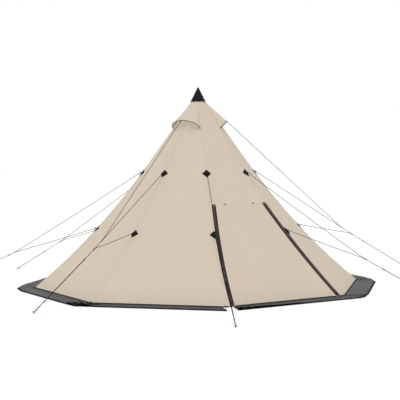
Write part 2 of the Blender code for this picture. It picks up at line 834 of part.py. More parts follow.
def vent_mesh(k):
    """The net in the vent, folded over the ridge."""
    levels = rows(VENT_SILL + FABRIC_GAP, VENT_HEAD - FABRIC_GAP)
    rings = [vent_section(k, z, -FABRIC_GAP, -MESH_THICKNESS, 0.0) for z in levels]
    return loft(f"vent_mesh_{SIDE_NAMES[k]}", rings, NET)


# Cap and pole

def cap_ring(radius, out, z, lift):
    """One ring of the cap: a point at each ridge and one, lifted, in the middle of each side."""
    points = []
    for k in range(SIDES):
        here, following = corner(k, radius, out), corner(k + 1, radius, out)
        points.append((*here, z))
        points.append((*(here + following) / 2, z + lift))
    return points


def apex_cap():
    """The pointed cap over the neck, with a scalloped hem."""
    inner_out = FABRIC_GAP + LAP_THICKNESS + CAP_CLEARANCE
    outer_out = inner_out + CAP_WALL
    radius = ridge_radius(CAP_HEM)
    inner_tip = TENT_HEIGHT - CAP_INNER_TIP_DROP
    share = 0.5
    rings = [
        cap_ring(CAP_TIP_RADIUS / 2, 0, inner_tip, 0),
        cap_ring(radius * share, inner_out * share, CAP_HEM + (inner_tip - CAP_HEM) * share, 0),
        cap_ring(radius, inner_out, CAP_HEM, CAP_SCALLOP),
        cap_ring(radius, outer_out, CAP_HEM, CAP_SCALLOP),
        cap_ring(radius * share, outer_out * share, CAP_HEM + (TENT_HEIGHT - CAP_HEM) * share, 0),
        cap_ring(CAP_TIP_RADIUS, 0, TENT_HEIGHT - CAP_TIP_RADIUS, 0),
        cap_ring(CAP_TIP_RADIUS / 3, 0, TENT_HEIGHT, 0),
    ]
    return loft("apex_cap", rings, CAP_CLOTH)


def pole():
    """The pole's foot, its plug-together tubes and its head, each turned about the axis."""
    bore = POLE_RADIUS - POLE_WALL
    plug = bore - PLUG_GAP
    turned("pole_foot", [(0, FOOT_COLLAR + SPIGOT_LENGTH), (plug, FOOT_COLLAR + SPIGOT_LENGTH), (plug, FOOT_COLLAR),
                         (HEAD_HUB_RADIUS, FOOT_COLLAR), (HEAD_HUB_RADIUS, FOOT_PLATE + 0.008),
                         (FOOT_RADIUS, FOOT_PLATE), (FOOT_RADIUS, 0), (0, 0)], PLASTIC)
    start = FOOT_COLLAR + PLUG_GAP
    length = (POLE_TOP - start) / POLE_SECTIONS
    for i in range(POLE_SECTIONS):
        low, high = start + i * length, start + (i + 1) * length - PLUG_GAP
        if i < POLE_SECTIONS - 1:
            tip = high + SPIGOT_LENGTH
            profile = [(plug, tip), (plug, high), (POLE_RADIUS, high), (POLE_RADIUS, low), (bore, low),
                       (bore, high - SPIGOT_LENGTH / 2), (plug - POLE_WALL, high), (plug - POLE_WALL, tip)]
        else:
            profile = [(POLE_RADIUS, high), (POLE_RADIUS, low), (bore, low), (bore, high)]
        turned(f"pole_section_{i + 1}", profile, ALUMINIUM)

    def neck_clear(z):
        return ridge_radius(z) * math.cos(FRONT_HALF_ANGLE) - WALL - FABRIC_GAP
    turned("pole_head", [(0, HEAD_PIN_TOP), (HEAD_PIN_RADIUS, HEAD_PIN_TOP - HEAD_PIN_RADIUS),
                         (HEAD_PIN_RADIUS * 1.5, HEAD_HIGH + 0.03), (HEAD_HUB_RADIUS, HEAD_HIGH + 0.012),
                         (neck_clear(HEAD_HIGH), HEAD_HIGH), (neck_clear(HEAD_LOW), HEAD_LOW),
                         (neck_clear(HEAD_LOW) - 0.004, HEAD_LOW - 0.004), (HEAD_HUB_RADIUS, HEAD_LOW - 0.004),
                         (HEAD_HUB_RADIUS, POLE_TOP), (plug, POLE_TOP), (plug, POLE_TOP - SPIGOT_LENGTH),
                         (0, POLE_TOP - SPIGOT_LENGTH)], PLASTIC)


# Guy lines

def unit(vector):
    """A vector scaled to length one."""
    return np.asarray(vector) / np.linalg.norm(vector)


def plane(point):
    """A point of a ridge's upright plane as a point in space."""
    return np.array([point[0], 0.0, point[1]])


def upright(pull):
    """Direction square to a line, in the upright plane that holds it."""
    return unit(np.cross((-pull[1], pull[0], 0.0), pull))


def line_frame(k, place, pull):
    """Matrix with its X axis along the line of ridge k at a place on it."""
    turn = Matrix.Rotation(math.atan2(pull[1], pull[0]), 4, "Z")
    tilt = Matrix.Rotation(math.atan2(-pull[2], math.hypot(pull[0], pull[1])), 4, "Y")
    return ridge_frame(k) @ Matrix.Translation(Vector(place)) @ turn @ tilt


def main_ends(k):
    """Junction and peg crossing of the main line on ridge k, in the upright plane through its upper eye."""
    distance, height = JUNCTION_AT_VENT if k in SIDE_VENT_RIDGES else JUNCTION
    eye = eye_centre(k, UPPER_GUY_HEIGHT)[0]
    aside = GUY_PEG_ASIDE[k] * (distance - eye) / (GUY_PEG_DISTANCE[k] - eye)
    return np.array([distance, aside, height]), np.array([GUY_PEG_DISTANCE[k], GUY_PEG_ASIDE[k], GUY_LOOP_HEIGHT])


def leg(eye, eye_radius, end, sag):
    """A leg with its loop through an eye, pulled straight towards its end."""
    pull = unit(end - eye)
    shift = LEG_LOOP_RADIUS - LEG_RADIUS - EYE_ROD - LINK_GAP
    middle = eye + pull * (eye_radius + shift)
    loop = ring("loop", middle, upright(pull), LEG_LOOP_RADIUS, LEG_RADIUS, CORD)
    start = middle + pull * LEG_LOOP_RADIUS
    route = []
    for share in np.linspace(0, 1, 5 if sag else 2):
        drop = 4 * sag * share * (1 - share)
        route.append(start + (end - start) * share - np.array([0.0, 0.0, drop]))
    return [settle(tube("leg", route, LEG_RADIUS, CORD)), loop]


def guy_line(k):
    """The cord of ridge k: its legs, the knot where they meet, and the main line to the peg."""
    junction, foot = main_ends(k)
    pull = unit(foot - junction)
    shift = MAIN_LOOP_RADIUS - MAIN_LOOP_ROD - PEG_ROD - FABRIC_GAP
    loop_centre = foot - pull * shift
    main = settle(tube(f"guy_line_{k + 1}", [junction, loop_centre - pull * MAIN_LOOP_RADIUS], MAIN_RADIUS, CORD))
    pieces = [ball("knot", junction, KNOT_RADIUS, CORD),
              ring("peg_end", loop_centre, upright(pull), MAIN_LOOP_RADIUS, MAIN_LOOP_ROD, CORD)]
    upper_eye = plane(eye_centre(k, UPPER_GUY_HEIGHT))
    vented = k in SIDE_VENT_RIDGES
    pieces += leg(upper_eye, EYE_RADIUS, junction, 0.0 if vented else LEG_SAG)
    pieces += leg(plane(eye_centre(k, LOWER_GUY_HEIGHT)), EYE_RADIUS, junction, LEG_SAG / 2)
    if vented:
        meet = upper_eye + (junction - upper_eye) * VENT_LEG_JOINS_AT
        pieces.append(ball("knot", meet, KNOT_RADIUS * 0.8, CORD))
        pieces += leg(plane(hoop_eye_centre(k)), HOOP_EYE_RADIUS, meet, 0.0)
    return carry(join(main, pieces), ridge_frame(k))


def tensioner(k):
    """The runner on the main line of ridge k, bored along the line."""
    junction, foot = main_ends(k)
    pull = unit(foot - junction)
    bpy.ops.mesh.primitive_cube_add(size=1)
    runner = bpy.context.active_object
    runner.name = f"tensioner_{k + 1}"
    adopt(runner, PLASTIC, PARTS)
    runner.data.transform(Matrix.Diagonal((TENSIONER_LENGTH, TENSIONER_WIDTH, TENSIONER_DEPTH, 1)))
    soft = runner.modifiers.new("soft_edges", "BEVEL")
    soft.width = 0.0018
    soft.segments = 1
    bpy.ops.mesh.primitive_cylinder_add(vertices=10, radius=MAIN_RADIUS + TENSIONER_CLEARANCE,
                                        depth=TENSIONER_LENGTH * 1.5, rotation=(0, math.pi / 2, 0))
    drill = adopt(bpy.context.active_object, PLASTIC, CUTTERS)
    drill.name = f"line_bore_cutter_{k + 1}"
    frame = line_frame(k, junction + pull * TENSIONER_SET[k], pull)
    runner.matrix_world = frame
    drill.matrix_world = frame @ Matrix.Rotation(math.pi / 2, 4, "Y")
    cut(runner, drill)
    return runner


def peg(name, length, frame):
    """A rod peg with a point and a hook, its ground crossing at the frame's origin."""
    top = PEG_HEAD
    route = [(0, 0, -length + top), (0, 0, -length + top + 0.02), (0, 0, 0), (0, 0, top)]
    for step in range(1, 6):
        turn = math.pi * step / 6
        route.append((PEG_HOOK_RADIUS * (1 - math.cos(turn)), 0, top + PEG_HOOK_RADIUS * math.sin(turn)))
    taper = [0.25] + [1.0] * (len(route) - 1)
    obj = tube(name, route, PEG_ROD, STEEL, taper)
    obj.matrix_world = frame
    return obj


def pegs(k):
    """The guy peg square to its line and the corner peg through its loop, on ridge k."""
    junction, foot = main_ends(k)
    peg(f"guy_peg_{k + 1}", GUY_PEG_LENGTH, line_frame(k, foot, unit(foot - junction)))
    lean = Matrix.Rotation(CORNER_PEG_LEAN, 4, "Y")
    place = ridge_frame(k) @ Matrix.Translation(Vector(plane(corner_peg_centre(k)))) @ lean
    peg(f"corner_peg_{k + 1}", CORNER_PEG_LENGTH, place)


def tent():
    """Build the whole tent."""
    canopy()
    door()
    ground_skirt()
    for k in SIDE_VENT_RIDGES:
        vent_hood(k)
        vent_hoop(k)
        vent_mesh(k)
    apex_cap()
    pole()
    for k in range(SIDES):
        guy_line(k)
        tensioner(k)
        pegs(k)


tent()
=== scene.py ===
"""The looks of an eight-sided pyramid tent: cotton walls, coated skirt, zips, hoods, cap, cords and pegs.

Every piece is computed from the tent's measures, in metres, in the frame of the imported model. The origin is on
the ground under the centre pole, +Z is up and the door faces -Y. Ridges are counted from the front left corner,
anticlockwise seen from above, from 0.
"""

import logging
import math
from dataclasses import dataclass, field
from enum import Enum
from typing import Any, Sequence

import bmesh
import bpy
import numpy as np
from mathutils import Matrix, Vector

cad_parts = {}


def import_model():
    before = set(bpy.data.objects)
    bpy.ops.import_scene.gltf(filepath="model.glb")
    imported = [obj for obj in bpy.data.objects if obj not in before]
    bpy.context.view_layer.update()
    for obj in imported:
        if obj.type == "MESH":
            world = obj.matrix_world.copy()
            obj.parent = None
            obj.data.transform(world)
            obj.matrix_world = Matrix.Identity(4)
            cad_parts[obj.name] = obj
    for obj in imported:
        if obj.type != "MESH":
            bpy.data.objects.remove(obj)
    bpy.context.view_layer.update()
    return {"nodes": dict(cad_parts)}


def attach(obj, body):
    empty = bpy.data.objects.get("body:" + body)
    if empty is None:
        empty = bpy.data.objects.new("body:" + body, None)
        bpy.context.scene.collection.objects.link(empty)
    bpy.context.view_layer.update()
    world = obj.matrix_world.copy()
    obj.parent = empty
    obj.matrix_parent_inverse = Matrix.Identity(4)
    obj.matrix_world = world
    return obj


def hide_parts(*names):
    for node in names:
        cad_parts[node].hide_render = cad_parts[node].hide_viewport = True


LOG = logging.getLogger("pyramid_tent")
CLOTH_UV = "cloth_metres"
SEAM_AND_SHADE_FIELD = "seam_distance"
MM = 0.001
FULL_TURN = 6.28
Array = np.ndarray


# Names

class Body(str, Enum):
    """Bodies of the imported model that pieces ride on."""

    TENT = "tent"
    DOOR = "door"


class Slot(str, Enum):
    """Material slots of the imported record."""

    CANOPY = "canopy_cotton"
    DARK = "dark_cloth"
    CAP = "cap_cloth"
    ZIP = "zip_tape"
    NET = "vent_net"
    CORD = "guy_cord"
    PLASTIC = "black_plastic"
    STEEL = "peg_steel"
    POLE = "pole_aluminium"
    HOOP = "hoop_rod"


class Side(Enum):
    """A side of the door, seen by someone who faces it from outside."""

    LEFT = -1
    RIGHT = 1

    @property
    def word(self) -> str:
        """Lower-case name used in piece names."""
        return self.name.lower()


VENT_SIDES: dict[int, str] = {2: "right", 7: "left"}


# Small maths

def linear(colour: str) -> tuple[float, float, float, float]:
    """Convert an sRGB hex colour to linear light.

    Args:
        colour: Six hex digits, such as "D6C8B7".

    Returns:
        Linear red, green and blue, with full alpha.
    """
    channels = [int(colour[i:i + 2], 16) / 255 for i in (0, 2, 4)]
    light = [c / 12.92 if c <= 0.04045 else ((c + 0.055) / 1.055) ** 2.4 for c in channels]
    return (light[0], light[1], light[2], 1.0)


def unit(vector: Array) -> Array:
    """Scale vectors to length one along the last axis."""
    return vector / np.linalg.norm(vector, axis=-1, keepdims=True)


def smooth(low: float, high: float, value: Array) -> Array:
    """Ease from 0 at low to 1 at high."""
    t = np.clip((np.asarray(value, dtype=float) - low) / (high - low), 0.0, 1.0)
    return t * t * (3 - 2 * t)


def bearing(angle: float) -> Array:
    """Level unit vector at a bearing, where zero is -Y and positive turns towards +X."""
    return np.array([math.sin(angle), -math.cos(angle)])


def per_metre(size_mm: float) -> float:
    """Number of features of a size in millimetres that go into one metre."""
    return 1000 / size_mm


def travelled(points: Array) -> Array:
    """Distance covered at each point of a row of points: the running sum of its steps."""
    steps = np.linalg.norm(np.diff(points, axis=0), axis=1)
    return np.concatenate([[0.0], np.cumsum(steps)])


def circle(count: int) -> Array:
    """Angles of evenly spread points round a circle."""
    return np.linspace(0, 2 * math.pi, count, endpoint=False)


def paired(across: Array, along: Array) -> Array:
    """Cloth coordinates from two arrays that spread over one grid."""
    return np.stack(np.broadcast_arrays(across, along), axis=-1)


def raised(plan: Array, height: Array) -> Array:
    """Points in space from points in plan and their heights."""
    return np.concatenate([plan, height[..., None]], axis=-1)


def spread(values: Array, grid: Array) -> Array:
    """One value for each row of a grid, spread over the grid's columns."""
    return np.broadcast_to(values[:, None], grid.shape)


def level_side(pull: Array) -> Array:
    """Level unit vector square to a line."""
    return unit(np.array([-pull[1], pull[0], 0.0]))


def resample(points: Array, spacing: float) -> Array:
    """Spread points evenly along a row of points.

    Args:
        points: The corners of the route, one row each.
        spacing: Largest distance between neighbours, in metres.

    Returns:
        Points on the same route, its two ends kept.
    """
    along = travelled(points)
    stations = np.linspace(0, along[-1], max(2, int(along[-1] / spacing) + 1))
    return np.stack([np.interp(stations, along, points[:, i]) for i in range(3)], axis=1)


# Mesh building

def finish_mesh(name: str, points: Array, quads: Array, ends: Sequence[Sequence[int]] = (),
                uv: Array | None = None, seam: Array | None = None) -> bpy.types.Object:
    """Make a smooth-shaded mesh object whose faces point out.

    Args:
        name: Name of the piece.
        points: Vertex positions, one row each.
        quads: Four vertex numbers for each face.
        ends: Further faces with any number of corners.
        uv: A cloth coordinate in metres for each vertex.
        seam: Distance from the nearest seam for each vertex, in metres; on the skirt, from the nearest place of
            painted shade.

    Returns:
        The new object, in the scene's collection.
    """
    faces = [tuple(q) for q in np.asarray(quads).tolist()] + [tuple(e) for e in ends]
    mesh = bpy.data.meshes.new(name)
    mesh.from_pydata(np.asarray(points, dtype=float).tolist(), [], faces)
    build = bmesh.new()
    build.from_mesh(mesh)
    bmesh.ops.recalc_face_normals(build, faces=build.faces)
    build.to_mesh(mesh)
    build.free()
    corner = np.empty(len(mesh.loops), dtype=np.int32)
    mesh.loops.foreach_get("vertex_index", corner)
    layer = mesh.uv_layers.new(name=CLOTH_UV)
    flat = np.asarray(points, dtype=float)[:, :2] if uv is None else np.asarray(uv, dtype=float)
    layer.data.foreach_set("uv", flat[corner].ravel())
    distance = mesh.attributes.new(SEAM_AND_SHADE_FIELD, "FLOAT", "POINT")
    values = np.full(len(points), 1.0) if seam is None else np.asarray(seam, dtype=float)
    distance.data.foreach_set("value", values)
    mesh.polygons.foreach_set("use_smooth", np.ones(len(mesh.polygons), dtype=bool))
    mesh.set_sharp_from_angle(angle=math.radians(38))
    obj = bpy.data.objects.new(name, mesh)
    bpy.context.scene.collection.objects.link(obj)
    return obj


def shell(name: str, outer: Array, inner: Array, keep: Array | None = None, wrap: bool = False,
          uv: Array | None = None, seam: Array | None = None) -> bpy.types.Object:
    """Close two matching grids of points into one sheet with thickness.

    Each cell gives a face on both grids, and each border of the kept cells gives a face between them.

    Args:
        name: Name of the piece.
        outer: Outer points, rows by columns by 3.
        inner: Inner points of the same shape.
        keep: Which cells exist; all of them if left out.
        wrap: Whether the last column joins the first.
        uv: Cloth coordinates in metres, rows by columns by 2.
        seam: Distance from the nearest seam, rows by columns; on the skirt, from the nearest place of painted
            shade.

    Returns:
        The finished object.
    """
    rows, columns = outer.shape[:2]
    across = columns if wrap else columns - 1
    cells = np.ones((rows - 1, across), dtype=bool) if keep is None else keep
    number = np.arange(rows * columns).reshape(rows, columns)
    right = np.roll(number, -1, axis=1)[:, :across]
    left = number[:, :across]
    quad = np.stack([left[:-1], right[:-1], right[1:], left[1:]], axis=-1)[cells]
    count = rows * columns
    level = np.concatenate([cells[:1], cells[:-1] != cells[1:], cells[-1:]], axis=0)
    a, b = left[level], right[level]
    rims = [np.stack([a, b, b + count, a + count], axis=-1)]
    if wrap:
        upright = cells != np.roll(cells, 1, axis=1)
    else:
        upright = np.concatenate([cells[:, :1], cells[:, :-1] != cells[:, 1:], cells[:, -1:]], axis=1)
    c, d = number[:-1][upright], number[1:][upright]
    rims.append(np.stack([c, d, d + count, c + count], axis=-1))
    quads = np.concatenate([quad, quad[:, ::-1] + count] + rims)
    points = np.concatenate([outer.reshape(-1, 3), inner.reshape(-1, 3)])
    flat = np.zeros((rows, columns, 2)) if uv is None else uv
    near = np.full((rows, columns), 1.0) if seam is None else seam
    used = np.unique(quads)
    back = np.full(2 * count, -1)
    back[used] = np.arange(len(used))
    twice = np.concatenate([flat.reshape(-1, 2)] * 2)[used]
    near_twice = np.concatenate([near.reshape(-1)] * 2)[used]
    return finish_mesh(name, points[used], back[quads], uv=twice, seam=near_twice)


def frames(path: Array, closed: bool) -> tuple[Array, Array]:
    """Two directions square to a path at each of its points, without twist.

    Args:
        path: Points along the path.
        closed: Whether the path joins its own start.

    Returns:
        Two arrays of unit vectors.
    """
    if closed:
        tangent = unit(np.roll(path, -1, axis=0) - np.roll(path, 1, axis=0))
    else:
        tangent = unit(np.gradient(path, axis=0))
    seed = np.array([0.0, 0.0, 1.0]) if abs(tangent[0, 2]) < 0.9 else np.array([1.0, 0.0, 0.0])
    normal = np.empty_like(path)
    current = seed
    for i, t in enumerate(tangent):
        current = current - t * (current @ t)
        current = current / np.linalg.norm(current)
        normal[i] = current
    return normal, np.cross(tangent, normal)


def tube(name: str, path: Array, radius: float | Array, sides: int = 10,
         closed: bool = False) -> bpy.types.Object:
    """A round bar along a path: at each point a circle in the plane square to the path.

    Args:
        name: Name of the piece.
        path: Points along the middle line.
        radius: One radius in metres, or one for each point.
        sides: Number of points round the bar.
        closed: Whether the bar joins its own start.

    Returns:
        The finished object, with its length and turn as cloth coordinates.
    """
    path = np.asarray(path, dtype=float)
    normal, side = frames(path, closed)
    width = np.broadcast_to(np.asarray(radius, dtype=float), (len(path),))[:, None, None]
    turn = circle(sides)
    round_ = normal[:, None] * np.cos(turn)[:, None] + side[:, None] * np.sin(turn)[:, None]
    points = (path[:, None] + round_ * width).reshape(-1, 3)
    number = np.arange(len(path) * sides).reshape(len(path), sides)
    after = np.roll(number, -1, axis=1)
    last = np.roll(number, -1, axis=0) if closed else number[1:]
    last_after = np.roll(after, -1, axis=0) if closed else after[1:]
    first = number if closed else number[:-1]
    first_after = after if closed else after[:-1]
    quads = np.stack([first, first_after, last_after, last], axis=-1).reshape(-1, 4)
    ends = [] if closed else [number[0].tolist(), number[-1].tolist()]
    around = turn * float(np.mean(width))
    uv = paired(travelled(path)[:, None], around[None, :]).reshape(-1, 2)
    return finish_mesh(name, points, quads, ends, uv=uv)


def merged(name: str, parts: Sequence[bpy.types.Object]) -> bpy.types.Object:
    """Gather several new meshes into one object.

    Args:
        name: Name of the gathered piece.
        parts: Objects made by this script, at the origin.

    Returns:
        One object with all their faces.
    """
    points: list[Array] = []
    faces: list[tuple[int, ...]] = []
    uvs: list[Array] = []
    seams: list[Array] = []
    offset = 0
    for part in parts:
        mesh = part.data
        count = len(mesh.vertices)
        co = np.empty(count * 3)
        mesh.vertices.foreach_get("co", co)
        points.append(co.reshape(-1, 3))
        corner = np.empty(len(mesh.loops), dtype=np.int32)
        mesh.loops.foreach_get("vertex_index", corner)
        uv = np.empty(len(mesh.loops) * 2)
        mesh.uv_layers[CLOTH_UV].data.foreach_get("uv", uv)
        flat = np.zeros((count, 2))
        flat[corner] = uv.reshape(-1, 2)
        uvs.append(flat)
        near = np.empty(count)
        mesh.attributes[SEAM_AND_SHADE_FIELD].data.foreach_get("value", near)
        seams.append(near)
        faces += [tuple(v + offset for v in p.vertices) for p in mesh.polygons]
        offset += count
        bpy.data.objects.remove(part, do_unlink=True)
    return finish_mesh(name, np.concatenate(points), np.empty((0, 4), dtype=int), faces,
                       uv=np.concatenate(uvs), seam=np.concatenate(seams))


# Materials

class Kind(Enum):
    """Nodes that the materials are made of.

    A text is the operation of a maths node. Others have their type, settings, inputs given and output used.
    """

    ABSOLUTE = "ABSOLUTE"
    ADD = "ADD"
    BUMP = ("ShaderNodeBump", {}, ("Height", "Distance", "Strength"), 0)
    CLAMP = ("ShaderNodeClamp", {}, (0,), 0)
    FADE = ("ShaderNodeMapRange", {"interpolation_type": "SMOOTHSTEP"}, (0, 1, 2, 3, 4), 0)
    GREATER = "GREATER_THAN"
    LESS = "LESS_THAN"
    MAXIMUM = "MAXIMUM"
    MIX = ("ShaderNodeMix", {"data_type": "RGBA"}, (0, 6, 7), 2)
    MULTIPLY = "MULTIPLY"
    NEAR = ("ShaderNodeAttribute", {"attribute_name": SEAM_AND_SHADE_FIELD}, (), "Fac")
    NOISE = ("ShaderNodeTexNoise", {}, ("Vector", "Scale", "Detail"), 0)
    PINGPONG = "PINGPONG"
    PLACE = ("ShaderNodeTexCoord", {}, (), "Object")
    RANGE = ("ShaderNodeMapRange", {}, (0, 1, 2, 3, 4), 0)
    SINE = "SINE"
    SPLIT = ("ShaderNodeSeparateXYZ", {}, (0,), 0)
    STRETCH = ("ShaderNodeVectorMath", {"operation": "MULTIPLY"}, (0, 1), 0)
    SUBTRACT = "SUBTRACT"
    UV = ("ShaderNodeUVMap", {"uv_map": CLOTH_UV}, (), 0)


class Graph:
    """A material with a Principled shader, to which nodes are added."""

    def __init__(self, name: str, colour: str, roughness: float, metallic: float = 0.0,
                 gloss: float = 0.5) -> None:
        """Start a material.

        Args:
            name: The real material and how it is made.
            colour: Base colour as sRGB hex.
            roughness: Base roughness.
            metallic: 1 for bare metal.
            gloss: Specular level; low for cloth whose yarns trap light.
        """
        self.material = bpy.data.materials.new(name)
        self.material.use_nodes = True
        self.tree = self.material.node_tree
        self.shader = self.tree.nodes["Principled BSDF"]
        self.feed(self.shader, {"Base Color": colour, "Roughness": roughness, "Metallic": metallic,
                                "Specular IOR Level": gloss})

    def feed(self, node: bpy.types.Node, inputs: dict[str | int, Any]) -> None:
        """Set or link inputs of a node.

        Args:
            node: The node to feed.
            inputs: A value, an sRGB hex colour or a socket for each input.
        """
        for key, value in inputs.items():
            if isinstance(value, bpy.types.NodeSocket):
                self.tree.links.new(value, node.inputs[key])
            else:
                node.inputs[key].default_value = linear(value) if isinstance(value, str) else value

    def add(self, kind: Kind, *inputs: Any) -> bpy.types.NodeSocket:
        """Add a node with its settings and links.

        Args:
            kind: Which node.
            inputs: What its inputs get, in the order that its kind lists.

        Returns:
            The output that its kind names.
        """
        maths = ("ShaderNodeMath", {"operation": kind.value}, (0, 1), 0)
        name, settings, keys, output = maths if isinstance(kind.value, str) else kind.value
        node = self.tree.nodes.new(name)
        for key, value in settings.items():
            setattr(node, key, value)
        self.feed(node, dict(zip(keys, inputs)))
        return node.outputs[output]

    def weighted(self, *terms: tuple[bpy.types.NodeSocket, float]) -> bpy.types.NodeSocket:
        """The sum of some sockets, each times its weight."""
        total, *others = [self.add(Kind.MULTIPLY, socket, weight) for socket, weight in terms]
        for product in others:
            total = self.add(Kind.ADD, total, product)
        return total

    def finish(self, colour: Any, wear: Any, rough: tuple[float, float], relief: Any, depth_mm: float,
               strength: float) -> bpy.types.Material:
        """Send colour, roughness and relief to the shader.

        Args:
            colour: The colour's socket.
            wear: What the roughness follows, from 0 to 1.
            rough: Roughness where that is 0 and where it is 1.
            relief: Height of the relief, about 1 at its highest.
            depth_mm: That height in millimetres.
            strength: Share of the relief that the light sees.

        Returns:
            The finished material.
        """
        roughness = self.add(Kind.RANGE, wear, 0.0, 1.0, *rough)
        bump = self.add(Kind.BUMP, relief, depth_mm * MM, strength)
        self.feed(self.shader, {"Base Color": colour, "Roughness": roughness, "Normal": bump})
        return self.material


@dataclass(frozen=True)
class WovenCloth:
    """Plain-woven cloth whose yarns cross, thicken in places and drift in shade.

    Stitch rows beside seams, soil near the ground and painted shade beside hems and in creases, a dark rim colour
    in place of their shadow, come on top where a colour is given for them. Canvas yarns lie about 0.4 mm apart
    and thicken over about 1 mm. They are drawn two to four times as coarse, so that close views show them.
    """

    name: str
    colour: str
    shade: str
    yarn_mm: float = 0.9
    roughness: float = 0.9
    relief_mm: float = 0.12
    mottle: float = 0.5
    gloss: float = 0.3
    stitch: str | None = None
    soil: str | None = None
    # rim is the colour of painted shade, laid where the seam field is small: in hems and crease valleys, where
    # shadow falls.
    rim: str | None = None
    painted_shade_mm: float = 20.0
    slub_mm: float = 3.84615
    slub_stretch: float = 0.06
    patch_mm: float = 111.111
    drift_mm: float = 625.0
    plain_level: float = 0.38
    contrast: float = 4.0
    stitch_rows_mm: tuple[float, ...] = (13.5, 4.5)
    thread_mm: float = 1.2
    stitch_mm: float = 3.49066
    soil_height: float = 0.16
    soil_mm: float = 71.4286
    soil_share: float = 0.35

    def make(self) -> bpy.types.Material:
        """Build the material.

        The weave is a sine across the cloth times one along it, and slubs are noise drawn out along either yarn.
        They mix the two colours together with patches and drift. A stitch row lies at a distance from the seam.

        Returns:
            The finished material.
        """
        g = Graph(self.name, self.colour, self.roughness, gloss=self.gloss)
        where, place, near = g.add(Kind.UV), g.add(Kind.PLACE), g.add(Kind.NEAR)
        parts = g.add(Kind.SPLIT, where).node.outputs
        yarns = 2 * math.pi / (self.yarn_mm * MM)
        warp, weft = (g.add(Kind.SINE, g.add(Kind.MULTIPLY, parts[axis], yarns)) for axis in (0, 1))
        weave = g.add(Kind.MULTIPLY, warp, weft)
        slub, cross = (g.add(Kind.NOISE, g.add(Kind.STRETCH, where, stretch), per_metre(self.slub_mm), 3.0)
                       for stretch in ((1.0, self.slub_stretch, 1.0), (self.slub_stretch, 1.0, 1.0)))
        drift = g.add(Kind.NOISE, place, per_metre(self.drift_mm), 2.0)
        patchy = g.add(Kind.NOISE, place, per_metre(self.patch_mm), 4.0)
        blend = g.weighted((g.weighted((slub, 0.5), (cross, 0.5)), 0.5), (patchy, 0.25), (drift, 0.25))
        centred = g.add(Kind.SUBTRACT, blend, self.plain_level)
        share = g.add(Kind.CLAMP, g.weighted((centred, self.contrast * self.mottle), (weave, 0.12)))
        colour = g.add(Kind.MIX, share, self.colour, self.shade)
        relief = g.add(Kind.ADD, g.weighted((weave, 0.5)), slub)
        if self.stitch:
            offs = [g.add(Kind.ABSOLUTE, g.add(Kind.SUBTRACT, near, row * MM)) for row in self.stitch_rows_mm]
            both = g.add(Kind.MAXIMUM, *[g.add(Kind.LESS, off, self.thread_mm / 2 * MM) for off in offs])
            beat = g.add(Kind.SINE, g.add(Kind.MULTIPLY, parts[1], 2 * math.pi / (self.stitch_mm * MM)))
            thread = g.add(Kind.MULTIPLY, both, g.add(Kind.GREATER, beat, -0.5))
            colour = g.add(Kind.MIX, g.weighted((thread, 0.6)), colour, self.stitch)
            relief = g.add(Kind.SUBTRACT, relief, g.weighted((both, 1.5)))
        # Painted shade: near the places that the seam field marks, the colour fades to the dark rim colour and
        # the gloss drops, standing in for the shadow in hems and creases.
        if self.rim:
            dull = g.add(Kind.FADE, near, 0.5 * self.painted_shade_mm * MM, 1.8 * self.painted_shade_mm * MM, 1.0, 0.0)
            colour = g.add(Kind.MIX, dull, colour, self.rim)
            shine = g.weighted((g.add(Kind.SUBTRACT, 1.0, dull), self.gloss))
            g.feed(g.shader, {"Specular IOR Level": shine})
        if self.soil:
            height = g.add(Kind.SPLIT, place).node.outputs[2]
            low = g.add(Kind.RANGE, height, 0.0, self.soil_height, self.soil_share, 0.0)
            share = g.add(Kind.MULTIPLY, low, g.add(Kind.NOISE, place, per_metre(self.soil_mm), 5.0))
            colour = g.add(Kind.MIX, share, colour, self.soil)
        rough = (self.roughness - 0.06, self.roughness + 0.05)
        return g.finish(colour, blend, rough, relief, self.relief_mm, 0.55)


@dataclass(frozen=True)
class BraidedCord:
    """Braided cord whose strands cross in two directions, with a fleck of lighter yarn.

    Real strands are about 1 mm wide. They are drawn twice as coarse, so that close views show the braid.
    """

    name: str
    colour: str
    fleck: str
    strand_mm: float = 2.2
    strands_per_fleck: int = 4
    fuzz_mm: float = 1.11111

    def make(self) -> bpy.types.Material:
        """Build the material: the higher of two slanting sine waves is the strand on top.

        Returns:
            The finished material.
        """
        g = Graph(self.name, self.colour, 0.9, gloss=0.0)
        where = g.add(Kind.UV)
        parts = g.add(Kind.SPLIT, where).node.outputs
        scale = 2 * math.pi / (self.strand_mm * MM)
        along, round_ = (g.add(Kind.MULTIPLY, parts[axis], scale) for axis in (0, 1))
        one, two = (g.add(Kind.SINE, g.add(way, along, round_)) for way in (Kind.ADD, Kind.SUBTRACT))
        braid = g.add(Kind.MAXIMUM, one, two)
        beat = g.add(Kind.SINE, g.add(Kind.MULTIPLY, parts[0], scale / self.strands_per_fleck))
        lit = g.add(Kind.MULTIPLY, g.add(Kind.GREATER, beat, 0.7), braid)
        colour = g.add(Kind.MIX, g.add(Kind.CLAMP, g.weighted((lit, 0.5))), self.colour, self.fleck)
        fuzz = g.add(Kind.NOISE, where, per_metre(self.fuzz_mm), 3.0)
        return g.finish(colour, fuzz, (0.8, 1.0), braid, 0.4, 0.7)


